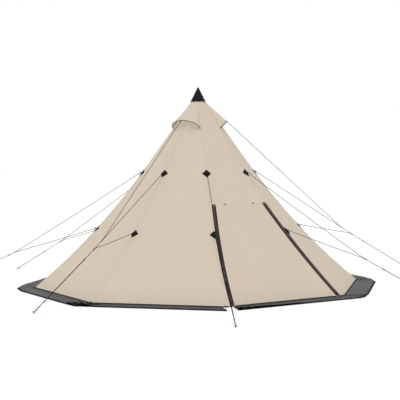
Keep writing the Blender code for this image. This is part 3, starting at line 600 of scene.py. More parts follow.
@dataclass(frozen=True)
class MetalFinish:
    """Bare metal with a drawn grain along one axis and dull patches."""

    name: str
    colour: str
    shade: str
    grain_mm: tuple[float, float, float]
    roughness: float = 0.34
    patch_mm: float = 22.2222

    def make(self) -> bpy.types.Material:
        """Build the material: noise as wide and long as the grain, mixed with patches.

        Returns:
            The finished material.
        """
        g = Graph(self.name, self.colour, self.roughness, 1.0)
        place = g.add(Kind.PLACE)
        drawn = g.add(Kind.STRETCH, place, tuple(per_metre(size) for size in self.grain_mm))
        lines = g.add(Kind.NOISE, drawn, 1.0, 4.0)
        both = g.weighted((lines, 0.6), (g.add(Kind.NOISE, place, per_metre(self.patch_mm), 3.0), 0.4))
        colour = g.add(Kind.MIX, both, self.colour, self.shade)
        return g.finish(colour, both, (self.roughness - 0.1, self.roughness + 0.16), lines, 0.04, 0.4)


@dataclass(frozen=True)
class MouldedPlastic:
    """Moulded plastic, lacquer or oiled wood with a fine grain, and worn to a second shade in places."""

    name: str
    colour: str
    scuff: str
    roughness: float = 0.45
    grain_mm: float = 0.7
    scuff_mm: float = 16.6667

    def make(self) -> bpy.types.Material:
        """Build the material: the scuffs show only where their noise is high.

        Returns:
            The finished material.
        """
        g = Graph(self.name, self.colour, self.roughness)
        place = g.add(Kind.PLACE)
        grain = g.add(Kind.NOISE, place, per_metre(self.grain_mm), 2.0)
        wear = g.add(Kind.NOISE, place, per_metre(self.scuff_mm), 5.0)
        colour = g.add(Kind.MIX, g.add(Kind.RANGE, wear, 0.55, 0.8, 0.0, 0.55), self.colour, self.scuff)
        return g.finish(colour, wear, (self.roughness - 0.08, self.roughness + 0.2), grain, 0.08, 0.6)


@dataclass(frozen=True)
class ToothedTape:
    """Woven zip tape: a herringbone whose ribs turn back at even distances, faded in patches.

    Real ribs are about 0.8 mm apart. They are drawn twice as coarse, so that close views show them.
    """

    name: str
    colour: str
    shade: str
    turn_mm: float = 4.0
    rib_mm: float = 1.6
    fade_mm: float = 14.2857

    def make(self) -> bpy.types.Material:
        """Build the material: a sine over the length plus the distance from the last turn.

        Returns:
            The finished material.
        """
        g = Graph(self.name, self.colour, 0.8, gloss=0.2)
        where = g.add(Kind.UV)
        parts = g.add(Kind.SPLIT, where).node.outputs
        run = g.add(Kind.ADD, g.add(Kind.PINGPONG, parts[0], self.turn_mm * MM), parts[1])
        twill = g.add(Kind.SINE, g.add(Kind.MULTIPLY, run, 2 * math.pi / (self.rib_mm * MM)))
        fade = g.add(Kind.NOISE, where, per_metre(self.fade_mm), 3.0)
        share = g.add(Kind.CLAMP, g.weighted((twill, 0.25), (fade, 0.7)))
        return g.finish(g.add(Kind.MIX, share, self.colour, self.shade), fade, (0.65, 0.9), twill, 0.18, 0.6)


@dataclass(frozen=True)
class Palette:
    """All finishes, keyed by what wears them; several may share one slot of the record."""

    made: dict[str, bpy.types.Material] = field(default_factory=dict)

    def build(self) -> None:
        """Make every material once."""
        finishes = {
            # Unbleached cotton: a matt, warm pale grey that mottles softly, sewn in thread a shade darker.
            "canopy": WovenCloth("cotton canvas, plain weave", "C9BCAC", "BEB1A0", stitch="A6997F",
                                 soil="B5A793"),
            # Twill folded over a raw edge: a thick brown line with a coarse rib.
            "binding": WovenCloth("cotton binding, twill", "75624C", "66543F", yarn_mm=1.3, relief_mm=0.3),
            # A smooth coating over coarse yarn: near black with a dull sheen; its rim colour is painted shade,
            # dark in the hem and in the valleys of its creases.
            "skirt": WovenCloth("PVC-coated polyester", "29292B", "48484C", yarn_mm=1.6, roughness=0.55,
                                relief_mm=0.2, mottle=0.9, gloss=0.2, rim="0E0E0F", painted_shade_mm=22.0),
            # Several layers of dyed cloth: warm black with hardly any gloss, stitched round its edge.
            "patch": WovenCloth("reinforcement cloth, dark", "191514", "231E1B", yarn_mm=1.2, roughness=0.8,
                                relief_mm=0.25, gloss=0.12, stitch="3A332E"),
            # Coated cloth in the open sky: a cooler black, a little smoother than the patches.
            "cap": WovenCloth("coated cap cloth", "0D1215", "151A1D", yarn_mm=1.4, roughness=0.65, relief_mm=0.2,
                              gloss=0.12),
            # Flat tape of thick yarns: dark with a deep, even rib.
            "webbing": WovenCloth("polyester webbing", "1D1917", "2A2421", yarn_mm=1.8, roughness=0.8,
                                  relief_mm=0.5, gloss=0.15),
            # The same weave in undyed cotton: tan and quite matt.
            "tan webbing": WovenCloth("cotton webbing", "8A7A62", "75664F", yarn_mm=1.8, roughness=0.85,
                                      relief_mm=0.5),
            # Dyed polypropylene: red-brown, matt between its ribs.
            "brown webbing": WovenCloth("polypropylene webbing, brown", "4A2A1B", "3A2116", yarn_mm=1.8,
                                        roughness=0.8, relief_mm=0.5, gloss=0.15),
            # Fine net: no hole shows at this distance, so it reads as cloth a shade darker than the canvas.
            "net": WovenCloth("mosquito net", "A99C86", "978A74", yarn_mm=1.4, roughness=0.8, relief_mm=0.6),
            # Dense dark tape with a herringbone that catches light in turn.
            "tape": ToothedTape("woven zip tape", "2A2220", "3A312D"),
            # Tight polyester braid: no gloss at all, with flecks of paler yarn.
            "cord": BraidedCord("braided polyester cord", "1F1E1A", "3F3D36"),
            # Nylon monofilament: a greyer, glossier bead on the dark tape.
            "coil": MouldedPlastic("nylon zip coil", "5C5451", "766D68", 0.4, 0.5),
            # Injection-moulded nylon: black with a fine grain, rubbed grey on its edges.
            "plastic": MouldedPlastic("moulded black nylon", "1D1B1A", "3A3735"),
            # Lacquer over cast zinc: the smoothest black here, chipped to grey in places.
            "pull": MouldedPlastic("black-lacquered zinc", "17181A", "4B4C4E", 0.35, 1.2),
            # Resin over glass fibres: brown with a smooth gloss.
            "hoop": MouldedPlastic("glass-fibre rod", "5C4A38", "7A664F", 0.4, 1.5),
            # Oiled beech: tan, darker where its pores hold oil.
            "toggle": MouldedPlastic("turned wood, oiled", "8C7454", "6E5940", 0.6, 2.0),
            # Zinc on steel: mid grey with dull, cloudy patches. The clouds are drawn longer than real.
            "steel": MetalFinish("galvanised steel rod", "8F8D87", "6C6A66", (16.6667, 16.6667, 50.0), 0.42),
            # Drawn tube: pale and even, with hairlines along it. They are 1 mm wide here, for real ones are too
            # fine to show.
            "aluminium": MetalFinish("drawn aluminium tube", "B9BBBD", "A3A6A9", (1.11111, 1.11111, 166.667)),
        }
        self.made.update({key: finish.make() for key, finish in finishes.items()})

    def carry(self, nodes: dict[str, Any]) -> None:
        """Give the nodes whose own shape shows their finish: pole, zip sliders and runners.

        Args:
            nodes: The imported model's objects by name.
        """
        wanted = {"pole_section": "aluminium", "pole_foot": "plastic", "pole_head": "plastic",
                  "zip_slider": "pull", "tensioner": "plastic"}
        for name, obj in nodes.items():
            for key in (finish for start, finish in wanted.items() if name.startswith(start)):
                for slot in obj.material_slots:
                    slot.material = self.made[key]
                LOG.info("carried %s, %s", name, self.made[key].name)

    def settle(self, obj: bpy.types.Object, key: str, slot: Slot, node: str | None = None,
               body: Body = Body.TENT) -> None:
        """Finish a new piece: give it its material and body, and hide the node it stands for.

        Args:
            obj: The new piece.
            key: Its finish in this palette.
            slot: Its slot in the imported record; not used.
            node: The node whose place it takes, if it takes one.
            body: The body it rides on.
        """
        obj.data.materials.clear()
        obj.data.materials.append(self.made[key])
        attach(obj, body.value)
        if node is not None:
            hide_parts(node)
        LOG.info("made %s, %s, %d faces", obj.name, self.made[key].name, len(obj.data.polygons))


# Form of the tent

@dataclass(frozen=True)
class TentForm:
    """Plan and profile that all cloth shares."""

    sides: int = 8
    base_radius: float = 2.500
    front_half_angle: float = math.radians(23.5)
    neck_height: float = 2.780
    neck_radius: float = 0.108
    upper_guy_height: float = 1.710
    upper_guy_radius: float = 0.870
    lower_guy_height: float = 0.876
    lower_guy_radius: float = 1.562
    foot: float = 0.0033
    canopy_top: float = 2.815
    lap: float = 0.018
    lap_out: float = 0.0043
    door_top: float = 1.265
    zip_half_top: float = 0.433
    zip_half_foot: float = 0.885

    def ridge_angle(self, k: int) -> float:
        """Bearing of a ridge."""
        k = k % self.sides
        if k < 2:
            return self.front_half_angle * (2 * k - 1)
        return (k - 0.5) * 2 * math.pi / self.sides

    def normal(self, k: int) -> Array:
        """Level outward normal of the side from ridge k to the next."""
        start, end = self.ridge_angle(k), self.ridge_angle(k + 1)
        if end < start:
            end += 2 * math.pi
        return bearing((start + end) / 2)

    def radius(self, z: Array) -> Array:
        """Ridge radius at heights: the cubic through foot, guy points and neck, in Lagrange's form.

        Args:
            z: Heights in metres.

        Returns:
            Distances from the pole axis.
        """
        knots = ((0.0, self.base_radius), (self.lower_guy_height, self.lower_guy_radius),
                 (self.upper_guy_height, self.upper_guy_radius), (self.neck_height, self.neck_radius))
        z = np.asarray(z, dtype=float)
        total = np.zeros_like(z)
        for i, (zi, value) in enumerate(knots):
            weight = np.ones_like(z)
            for j, (zj, _) in enumerate(knots):
                if j != i:
                    weight = weight * (z - zj) / (zi - zj)
            total = total + value * weight
        return total

    def slope(self, z: float) -> float:
        """Change of ridge radius with height."""
        return float((self.radius(z + 1e-3) - self.radius(z - 1e-3)) / 2e-3)

    def corner(self, k: int, radius: Array, out: Array | float = 0.0) -> Array:
        """Plan corner of ridge k at radii, moved out from both of its sides."""
        before, after = self.normal(k - 1), self.normal(k)
        ray = bearing(self.ridge_angle(k))
        radius, out = np.asarray(radius, dtype=float), np.asarray(out, dtype=float)
        return radius[..., None] * ray + out[..., None] * (before + after) / (1 + before @ after)

    def chord(self, k: int) -> Array:
        """Plan vector from ridge k to the next where the ridges' radius is one."""
        one = np.array(1.0)
        return self.corner(k + 1, one) - self.corner(k, one)

    def along(self, k: int) -> Array:
        """Level unit vector from ridge k to the next."""
        return unit(self.chord(k))

    def width(self, k: int, z: Array) -> Array:
        """Width of a side at heights."""
        return self.radius(z) * float(np.linalg.norm(self.chord(k)))

    def zip_x(self, z: Array) -> Array:
        """Half the width of the doorway at heights."""
        return self.zip_half_foot + (self.zip_half_top - self.zip_half_foot) * np.asarray(z) / self.door_top

    def front_y(self, z: Array) -> Array:
        """Outer face of the front side at heights."""
        return -self.radius(z) * math.cos(self.front_half_angle)

    def on_ridge(self, k: int, distance: float | Array, z: float | Array, aside: float | Array = 0.0) -> Array:
        """Points in space from distance, height and offset to the left of a ridge's upright plane."""
        angle = self.ridge_angle(k)
        distance, z, aside = np.broadcast_arrays(*[np.asarray(v, dtype=float) for v in (distance, z, aside)])
        return np.stack([math.sin(angle) * distance + math.cos(angle) * aside,
                         -math.cos(angle) * distance + math.sin(angle) * aside, z], axis=-1)

    def face(self, k: int, z: float) -> float:
        """Distance from the pole axis to the lapped seam of ridge k."""
        return float(np.linalg.norm(self.corner(k, self.radius(z), self.lap_out)))


@dataclass(frozen=True)
class Assembly:
    """A sub-assembly: the form that it follows and the finishes that it wears."""

    form: TentForm
    palette: Palette


@dataclass(frozen=True)
class Folds:
    """Slight tension folds of one cloth side, in metres along its normal."""

    form: TentForm
    seed: int
    sag: float = 0.006
    tension: float = 0.0035
    foot: float = 0.004
    drift: float = 0.0025
    rest: float = 0.002
    sag_height: float = 2.6
    rays: int = 9
    ray_reach: float = 0.55
    foot_waves: int = 7
    foot_reach: float = 0.12
    drifts: int = 5

    def at(self, across: Array, z: Array, width: Array) -> Array:
        """Fold height: a sag, rays from the side's six pulled points, a ripple at the foot and slow drifts.

        Args:
            across: Distance from the first ridge in metres.
            z: Heights in metres.
            width: Width of the side at those heights.

        Returns:
            Offsets along the side's level normal, all inward at rest.
        """
        rng = np.random.default_rng(self.seed)
        share = np.clip(across / width, 0, 1)
        edge = smooth(0.02, 0.16, np.minimum(across, width - across))
        total = -self.sag * np.sin(math.pi * share) * np.sin(math.pi * np.clip(z / self.sag_height, 0, 1))
        for height in (self.form.lower_guy_height, self.form.upper_guy_height, self.form.foot):
            for from_right in (False, True):
                dx = width - across if from_right else across
                dz = (z - height) * 1.45
                distance = np.hypot(dx, dz) + 1e-6
                angle = np.arctan2(dz, dx)
                reach = np.exp(-distance / self.ray_reach) * smooth(0.03, 0.22, distance)
                total += self.tension * reach * np.sin(self.rays * angle + rng.uniform(0, FULL_TURN))
        ripple = np.sin(2 * math.pi * share * self.foot_waves + rng.uniform(0, FULL_TURN))
        total += self.foot / 2 * ripple * np.exp(-z / self.foot_reach)
        for _ in range(self.drifts):
            fx, fz = rng.uniform(0.5, 2.4, 2)
            phase = 2 * math.pi * (fx * across + fz * z) + rng.uniform(0, FULL_TURN)
            total += self.drift / self.drifts * np.sin(phase)
        return np.minimum(total - self.rest, 0.0) * edge


# Cloth of the canopy

@dataclass(frozen=True)
class Canopy(Assembly):
    """The seven walls, the front with its doorway, and the door."""

    vents: "Vents"
    cloth: float = 0.0012
    lap_steps: tuple[float, ...] = (0.0165, 0.009, 0.002)
    lap_rise: float = 0.0016
    lap_end_rise: float = 0.0018
    under_lap: float = 0.0003
    edge_gap: float = 0.0002
    rows: int = 86
    window_rows: int = 8
    neck_rows: int = 4
    bay: int = 38
    window: int = 8
    leg_bay: int = 6
    header_bay: int = 32
    slope_share: float = 0.92
    tape_height: float = 0.014
    tape_height_at_zip: float = 0.009
    tape_cloth: float = 0.0012
    tape_gap: float = 0.0003
    door_gap: float = 0.0008
    door_top_gap: float = 0.0003

    def lap_columns(self) -> tuple[Array, Array]:
        """Distances of the lap's columns from its ridge, and 1 where the lap adds a layer."""
        steps = np.array([self.form.lap, *self.lap_steps])
        columns = np.concatenate([-steps, [0.0], steps[::-1]])
        return columns, (np.abs(columns) < self.form.lap).astype(float)

    def spaced(self, bays: Sequence[tuple[Array, Array, int]]) -> tuple[Array, Array]:
        """Columns of a side: the lap's, then even ones in each bay.

        Args:
            bays: Start and end of each bay at each row, and its number of columns.

        Returns:
            Distances from the ridge, rows by columns, and how far each is lifted by the lap.
        """
        lap, lift = self.lap_columns()
        parts = [low[:, None] + (high - low)[:, None] * np.linspace(0, 1, count + 1)[1:]
                 for low, high, count in bays]
        distances = np.concatenate([np.broadcast_to(lap, (len(bays[0][0]), len(lap)))] + parts, axis=1)
        lifts = np.concatenate([lift, np.zeros(distances.shape[1] - len(lap))])
        return distances, np.broadcast_to(lifts, distances.shape)

    def columns(self, k: int, z: Array) -> tuple[Array, Array]:
        """Columns of a wall, with a border along its part of a vent's window.

        Args:
            k: Number of the side.
            z: Heights of the rows.

        Returns:
            Distances from ridge k, rows by columns, and how far each is lifted by the lap.
        """
        width = self.form.width(k, z)
        start, stop = np.full(len(z), self.form.lap), width - self.edge_gap
        reach = np.clip(self.vents.reach(np.clip(z, self.vents.sill, self.vents.head)), 0, width * 0.85)
        beyond = self.bay - self.window
        if k in VENT_SIDES:
            return self.spaced([(start, reach, self.window), (reach, stop, beyond)])
        if (k + 1) % self.form.sides in VENT_SIDES:
            return self.spaced([(start, width - reach, beyond), (width - reach, stop, self.window)])
        return self.spaced([(start, stop, self.bay)])

    def surface(self, k: int, distances: Array, z: Array, lifts: Array,
                folds: Folds | None) -> tuple[Array, Array]:
        """Outer and inner points of a side: ridge k at each height plus the distance along the side.

        Args:
            k: Number of the side.
            distances: Distances from ridge k, negative ones on the side before it.
            z: Height of each row.
            lifts: 1 where the lap adds a layer.
            folds: Folds to add, or none.

        Returns:
            Outer and inner grids of points.
        """
        radius, height = spread(self.form.radius(z), distances), spread(z, distances)
        width = spread(self.form.width(k, z), distances)
        back = distances < 0
        outer_out = np.where(back, self.lap_end_rise * lifts + 0.0005, self.lap_rise * lifts)
        inner_out = np.where(back, self.under_lap, -self.cloth)
        own, before = self.form.along(k), -self.form.along(k - 1)
        step = np.where(back[..., None], -distances[..., None] * before, distances[..., None] * own)
        shift = np.zeros_like(distances)
        if folds is not None:
            shift = np.where(back, 0.0, folds.at(np.clip(distances, 0, None), height, width))
        fold = self.form.normal(k) * shift[..., None]
        outer, inner = (raised(self.form.corner(k, radius, out) + step + fold, height)
                        for out in (outer_out, inner_out))
        return outer, inner

    def fields(self, k: int, distances: Array, z: Array) -> tuple[Array, Array]:
        """Cloth coordinates and distance from the nearest seam.

        Args:
            k: Number of the side.
            distances: Distances from ridge k, rows by columns.
            z: Height of each row.

        Returns:
            Coordinates in metres from the side's middle and its foot, and distances.
        """
        width = self.form.width(k, z)[:, None]
        slant = travelled(np.stack([z, self.form.radius(z) * self.slope_share], axis=1))
        seam = np.minimum(np.abs(distances), np.abs(width - distances + 0.02))
        return paired(distances - width / 2, slant[:, None]), seam

    def wall(self, k: int) -> None:
        """One plain wall, lapped over ridge k.

        Args:
            k: Number of the side.
        """
        name, form, vents = f"wall_panel_{k}", self.form, self.vents
        z = np.concatenate([np.linspace(form.foot, vents.sill, self.rows),
                            np.linspace(vents.sill, vents.head, self.window_rows + 1)[1:],
                            np.linspace(vents.head, form.canopy_top, self.neck_rows + 1)[1:]])
        distances, lifts = self.columns(k, z)
        outer, inner = self.surface(k, distances, z, lifts, Folds(form, 40 + k))
        uv, seam = self.fields(k, distances, z)
        keep = None
        if k in VENT_SIDES or (k + 1) % form.sides in VENT_SIDES:
            keep = np.ones((len(z) - 1, distances.shape[1] - 1), dtype=bool)
            lap_cells = len(self.lap_columns()[0]) - 1
            opened = slice(None, lap_cells + self.window) if k in VENT_SIDES else slice(-self.window, None)
            keep[self.rows - 1:self.rows - 1 + self.window_rows, opened] = False
        piece = shell(f"{name}_cloth", outer, inner, keep, uv=uv, seam=seam)
        self.palette.settle(piece, "canopy", Slot.CANOPY, name)
        self.foot_tape(f"foot_tape_{k}", outer[:2, 4:], form.normal(k), Body.TENT)
        width, length = float(form.width(k, np.array(0.0))) + 0.04, float(uv[-1, 0, 1]) + 0.03

    def foot_tape(self, name: str, foot: Array, facing: Array, body: Body) -> None:
        """The dark tape sewn along the foot of one cloth, on its outer face and lower under the zips.

        Args:
            name: Name of the tape.
            foot: The cloth's two lowest rows of outer points.
            facing: Level outward direction of the cloth.
            body: The body the cloth rides on.
        """
        from_zip = np.abs(np.abs(foot[0, :, 0]) - float(self.form.zip_x(np.array(0.0))))
        under_zip = (from_zip < 0.05) & (abs(facing[0]) < 0.01)
        tall = np.where(under_zip, self.tape_height_at_zip, self.tape_height) - self.form.foot
        share = np.array([0.02, 0.5, 1.0])[:, None] * tall / (foot[1, 0, 2] - self.form.foot)
        grid = foot[0] + (foot[1] - foot[0]) * share[..., None]
        proud = np.array([*facing, 0.0])
        uv = paired(travelled(foot[0])[None, :], grid[:, :1, 2])
        strip = shell(name, grid + proud * (self.tape_gap + self.tape_cloth), grid + proud * self.tape_gap, uv=uv)
        self.palette.settle(strip, "webbing", Slot.DARK, body=body)

    def front(self) -> None:
        """The front side round its doorway: one grid, cut into a header and two legs."""
        form = self.form
        below = np.linspace(form.foot, form.door_top, 46)
        above = np.linspace(form.door_top, form.canopy_top, 52)[1:]
        z = np.concatenate([below, above])
        half = form.width(0, z) / 2
        top_share = form.zip_half_top / float(form.width(0, np.array(form.door_top)) / 2)
        edge = np.where(z <= form.door_top, form.zip_x(z), half * top_share)
        distances, lifts = self.spaced([(np.full(len(z), form.lap), half - edge, self.leg_bay),
                                        (half - edge, half + edge, self.header_bay),
                                        (half + edge, 2 * half - self.edge_gap, self.leg_bay)])
        folds = Folds(form, 40, sag=0.003, tension=0.002)
        taut, creased = (self.surface(0, distances, z, lifts, some) for some in (None, folds))
        slack = smooth(0.0, 0.1, np.abs(z - form.door_top))[:, None, None]
        outer, inner = (flat + (full - flat) * slack for flat, full in zip(taut, creased))
        uv, seam = self.fields(0, distances, z)
        rows = len(below) - 1
        left = len(self.lap_columns()[0]) - 1 + self.leg_bay
        right = left + self.header_bay
        self.foot_tape("foot_tape_front_left", outer[:2, 4:left + 1], form.normal(0), Body.TENT)
        self.foot_tape("foot_tape_front_right", outer[:2, right:], form.normal(0), Body.TENT)
        length = float(uv[rows, 0, 1])
        cuts = (("header", (slice(rows, None), slice(None)), 1.02, float(uv[-1, 0, 1]) - length, outer[rows:]),
                ("leg_left", (slice(rows), slice(left)), 0.135, length, outer[:rows + 1, :left + 1]),
                ("leg_right", (slice(rows), slice(right, None)), 0.115, length, outer[:rows + 1, right:]))
        for word, kept, width, long, part in cuts:
            keep = np.zeros((len(z) - 1, distances.shape[1] - 1), dtype=bool)
            keep[kept] = True
            piece = shell(f"front_{word}", outer, inner, keep, uv=uv, seam=seam)
            self.palette.settle(piece, "canopy", Slot.CANOPY, "front_panel" if word == "header" else None)

    def door(self) -> None:
        """The door, closed, between the zips."""
        form = self.form
        z = np.linspace(form.foot, form.door_top - self.door_top_gap, 52)
        half = (form.zip_x(z) - self.door_gap)[:, None]
        x = half * np.linspace(-1, 1, 57)
        height = spread(z, x)
        folds = Folds(form, 91, sag=0.003, tension=0.003)
        ease = smooth(0.0, 0.1, form.door_top - height) * smooth(0.03, 0.12, half - np.abs(x))
        shift = folds.at(x + half, height, 2 * half) * ease
        outer = np.stack([x, spread(form.front_y(z), x) - shift, height], axis=-1)
        inner = outer + np.array([0.0, self.cloth, 0.0])
        slant = travelled(np.stack([z, form.front_y(z)], axis=1))
        seam = np.minimum(half - np.abs(x) + 0.03, height - form.foot + 0.004)
        piece = shell("door_cloth", outer, inner, uv=paired(x, slant[:, None]), seam=seam)
        self.palette.settle(piece, "canopy", Slot.CANOPY, "door_panel", Body.DOOR)
        self.foot_tape("foot_tape_door", outer[:2, 1:-1], form.normal(0), Body.DOOR)

    def build(self) -> None:
        """Make all the canopy's cloth."""
        for k in range(1, self.form.sides):
            self.wall(k)
        self.front()
        self.door()


@dataclass(frozen=True)
class Vents(Assembly):
    """The two hooded vents with their hoops and nets."""

    sill: float = 2.500
    head: float = 2.720
    half_low: float = 0.150
    half_high: float = 0.070
    hood_top: float = 2.770
    hood_foot: float = 2.372
    crown_radius: float = 0.425
    crown_height: float = 2.490
    junction: tuple[float, float] = (2.385, 0.738)
    edge_margin: float = 0.024
    over_seam: float = 0.45
    seam_rise: float = 0.0046
    cloth: float = 0.0014
    crease: float = 0.0012
    hoop_radius: float = 0.0035
    eye_radius: float = 0.009
    eye_rod: float = 0.003
    eye_sink: float = 0.002
    binding: float = 0.0012
    binding_width: float = 0.009
    gap: float = 0.0003
    net_gap: float = 0.0005
    net_out: tuple[float, float] = (-0.0004, -0.0016)

    def reach(self, z: Array) -> Array:
        """Half the window's width along each side at heights."""
        return self.half_low + (self.half_high - self.half_low) * (z - self.sill) / (self.head - self.sill)

    def seat(self, k: int, share: Array | float, z: Array | float, out: Array | float) -> Array:
        """Points on the two sides beside ridge k.

        Args:
            k: Number of the ridge.
            share: Place from the hood's left edge at -1, over the ridge at 0, to its right edge at 1.
            z: Heights in metres.
            out: How far out from the sides.

        Returns:
            Points in space.
        """
        share, z, out = np.broadcast_arrays(*[np.asarray(v, dtype=float) for v in (share, z, out)])
        radius = self.form.radius(z)
        middle = self.form.corner(k, radius, out)
        left = self.form.corner(k - 1, radius, out) + self.form.along(k - 1) * self.edge_margin
        right = self.form.corner(k + 1, radius, out) - self.form.along(k) * self.edge_margin
        edge = np.where(share[..., None] < 0, left, right)
        return raised(middle + (edge - middle) * np.abs(share)[..., None], z)

    def arch(self, k: int, share: Array | float) -> Array:
        """The hood's lower edge: half an ellipse through the crown.

        Args:
            k: Number of the ridge.
            share: Place from -1 to 1.

        Returns:
            Points in space.
        """
        left, right = (self.seat(k, s, self.hood_foot, self.gap) for s in (-1, 1))
        middle = (left + right) / 2
        crown = self.form.on_ridge(k, self.crown_radius, self.crown_height)
        turn = np.asarray(share, dtype=float)[..., None] * math.pi / 2
        return middle + (right - middle) * np.sin(turn) + (crown - middle) * np.cos(turn)

    def point(self, k: int, share: Array | float, z: Array | float) -> Array:
        """The hood's inner face: the sides, plus the arch's swell in proportion to the way down.

        Args:
            k: Number of the ridge.
            share: Place from -1 to 1.
            z: Heights in metres.

        Returns:
            Points in space.
        """
        near = 1 - smooth(self.over_seam - 0.1, self.over_seam + 0.1, np.abs(share))
        out = self.gap + self.seam_rise * smooth(self.head, self.hood_top, z) * near
        swell = self.arch(k, share) - self.seat(k, share, self.hood_foot, self.gap)
        down = (self.hood_top - np.asarray(z, dtype=float)) / (self.hood_top - self.hood_foot)
        return self.seat(k, share, z, out) + swell * down[..., None]

    def hoop_point(self, k: int, share: float) -> Array:
        """Middle of the hoop's rod, just under the hood's edge and clear of the wall.

        Args:
            k: Number of the ridge.
            share: Place from -1 to 1.

        Returns:
            A point in space.
        """
        edge = self.arch(k, share)
        fall = unit(edge - self.point(k, share, self.hood_foot + self.hoop_radius * 8))
        side = self.arch(k, min(share + 0.01, 1)) - self.arch(k, max(share - 0.01, -1))
        outward = unit(np.cross(fall, side))
        if outward[:2] @ bearing(self.form.ridge_angle(k)) < 0:
            outward = -outward
        point = edge + (fall + outward) * (self.hoop_radius + self.gap)
        wall = k - 1 if share < 0 else k
        normal = self.form.normal(wall)
        lean = normal @ bearing(self.form.ridge_angle(wall))
        off_wall = point[:2] @ normal - float(self.form.radius(point[2])) * lean
        needed = (self.hoop_radius + self.gap) * math.hypot(1.0, self.form.slope(point[2]) * lean)
        point[:2] += normal * max(0.0, needed - off_wall)
        return point

    def hoop_eye(self, k: int) -> Array:
        """Centre of the hoop's eye, beyond the rod towards the guy line's junction.

        Args:
            k: Number of the ridge.

        Returns:
            Distance and height in the ridge's plane.
        """
        crown = self.hoop_point(k, 0.0)
        rod = np.array([math.hypot(crown[0], crown[1]), crown[2]])
        away = self.hoop_radius + self.eye_radius + self.eye_rod - self.eye_sink
        return rod + unit(np.array(self.junction) - rod) * away

    def build(self) -> None:
        """Make both vents."""
        for k in VENT_SIDES:
            self.hood(k)
            self.hoop(k)
            self.net(k)

    def hood(self, k: int) -> None:
        """One hood of cloth, with creases that run out at its edges, and its bound edge.

        Args:
            k: Number of the ridge.
        """
        shares = np.sin(np.linspace(-math.pi / 2, math.pi / 2, 49))
        levels = np.concatenate([np.linspace(self.hood_top, self.head, 7),
                                 np.linspace(self.head, self.hood_foot, 26)[1:]])
        inner = self.point(k, shares[None, :], levels[:, None])
        normal = unit(np.cross(np.gradient(inner, axis=0), np.gradient(inner, axis=1)))
        normal = normal * np.sign((normal[..., :2] @ bearing(self.form.ridge_angle(k))).mean())
        t = np.linspace(0, 1, len(levels))[:, None]
        crease = self.crease * np.sin(shares[None, :] * 17 + 4 * t) * t * (1 - t) * 4
        inner = inner + normal * np.abs(crease)[..., None]
        outer = inner + normal * self.cloth
        across = travelled(inner[-1])
        length = np.linalg.norm(inner[-1, 24] - inner[0, 24])
        uv = paired(across[None, :], -t * length)
        seam = np.broadcast_to((1 - t) * length + 0.0005, inner.shape[:2])
        piece = shell(f"vent_hood_{VENT_SIDES[k]}_cloth", outer, inner, uv=uv, seam=seam)
        # Thin canvas passes daylight on to the wall below, so the hood stays out of bounced light's way.
        piece.visible_diffuse = False
        self.palette.settle(piece, "canopy", Slot.CANOPY, f"vent_hood_{VENT_SIDES[k]}")
        low = self.arch(k, shares) + normal[-1] * (self.cloth + self.gap)
        high = self.point(k, shares, self.hood_foot + self.binding_width) + normal[-2] * (self.cloth + self.gap)
        under = np.stack([high, (low + high) / 2 + normal[-1] * 0.0004, low])
        uv = paired(across[None, :], np.array([0.0, 0.004, 0.008])[:, None])
        binding = shell(f"vent_binding_{VENT_SIDES[k]}", under + normal[-1] * self.binding, under, uv=uv)
        self.palette.settle(binding, "binding", Slot.CANOPY)

    def hoop(self, k: int) -> None:
        """The bent rod with an eye at its crown.

        Args:
            k: Number of the ridge.
        """
        shares = np.sin(np.linspace(-math.pi / 2, math.pi / 2, 61))
        rod = tube("rod", np.array([self.hoop_point(k, s) for s in shares]), self.hoop_radius, 14)
        distance, z = self.hoop_eye(k)
        turn = circle(28)
        path = self.form.on_ridge(k, distance + self.eye_radius * np.cos(turn),
                                  z + self.eye_radius * np.sin(turn))
        eye = tube("eye", path, self.eye_rod, 10, closed=True)
        piece = merged(f"vent_hoop_{VENT_SIDES[k]}_rod", [rod, eye])
        self.palette.settle(piece, "hoop", Slot.HOOP, f"vent_hoop_{VENT_SIDES[k]}")

    def net(self, k: int) -> None:
        """The net in the window, folded over the ridge.

        Args:
            k: Number of the ridge.
        """
        form = self.form
        z = np.linspace(self.sill + self.net_gap, self.head - self.net_gap, 20)
        share = np.linspace(-1, 1, 31)
        reach = (self.reach(z) - self.net_gap)[:, None] * np.abs(share)
        radius, height = spread(form.radius(z), reach), spread(z, reach)
        step = np.where((share < 0)[None, :, None], -form.along(k - 1), form.along(k)) * reach[..., None]
        layers = [raised(form.corner(k, radius, np.asarray(out)) + step, height) for out in self.net_out]
        uv = np.stack([reach * np.sign(share), height], axis=-1)
        piece = shell(f"vent_net_{VENT_SIDES[k]}", layers[0], layers[1], uv=uv)
        self.palette.settle(piece, "net", Slot.NET, f"vent_mesh_{VENT_SIDES[k]}")


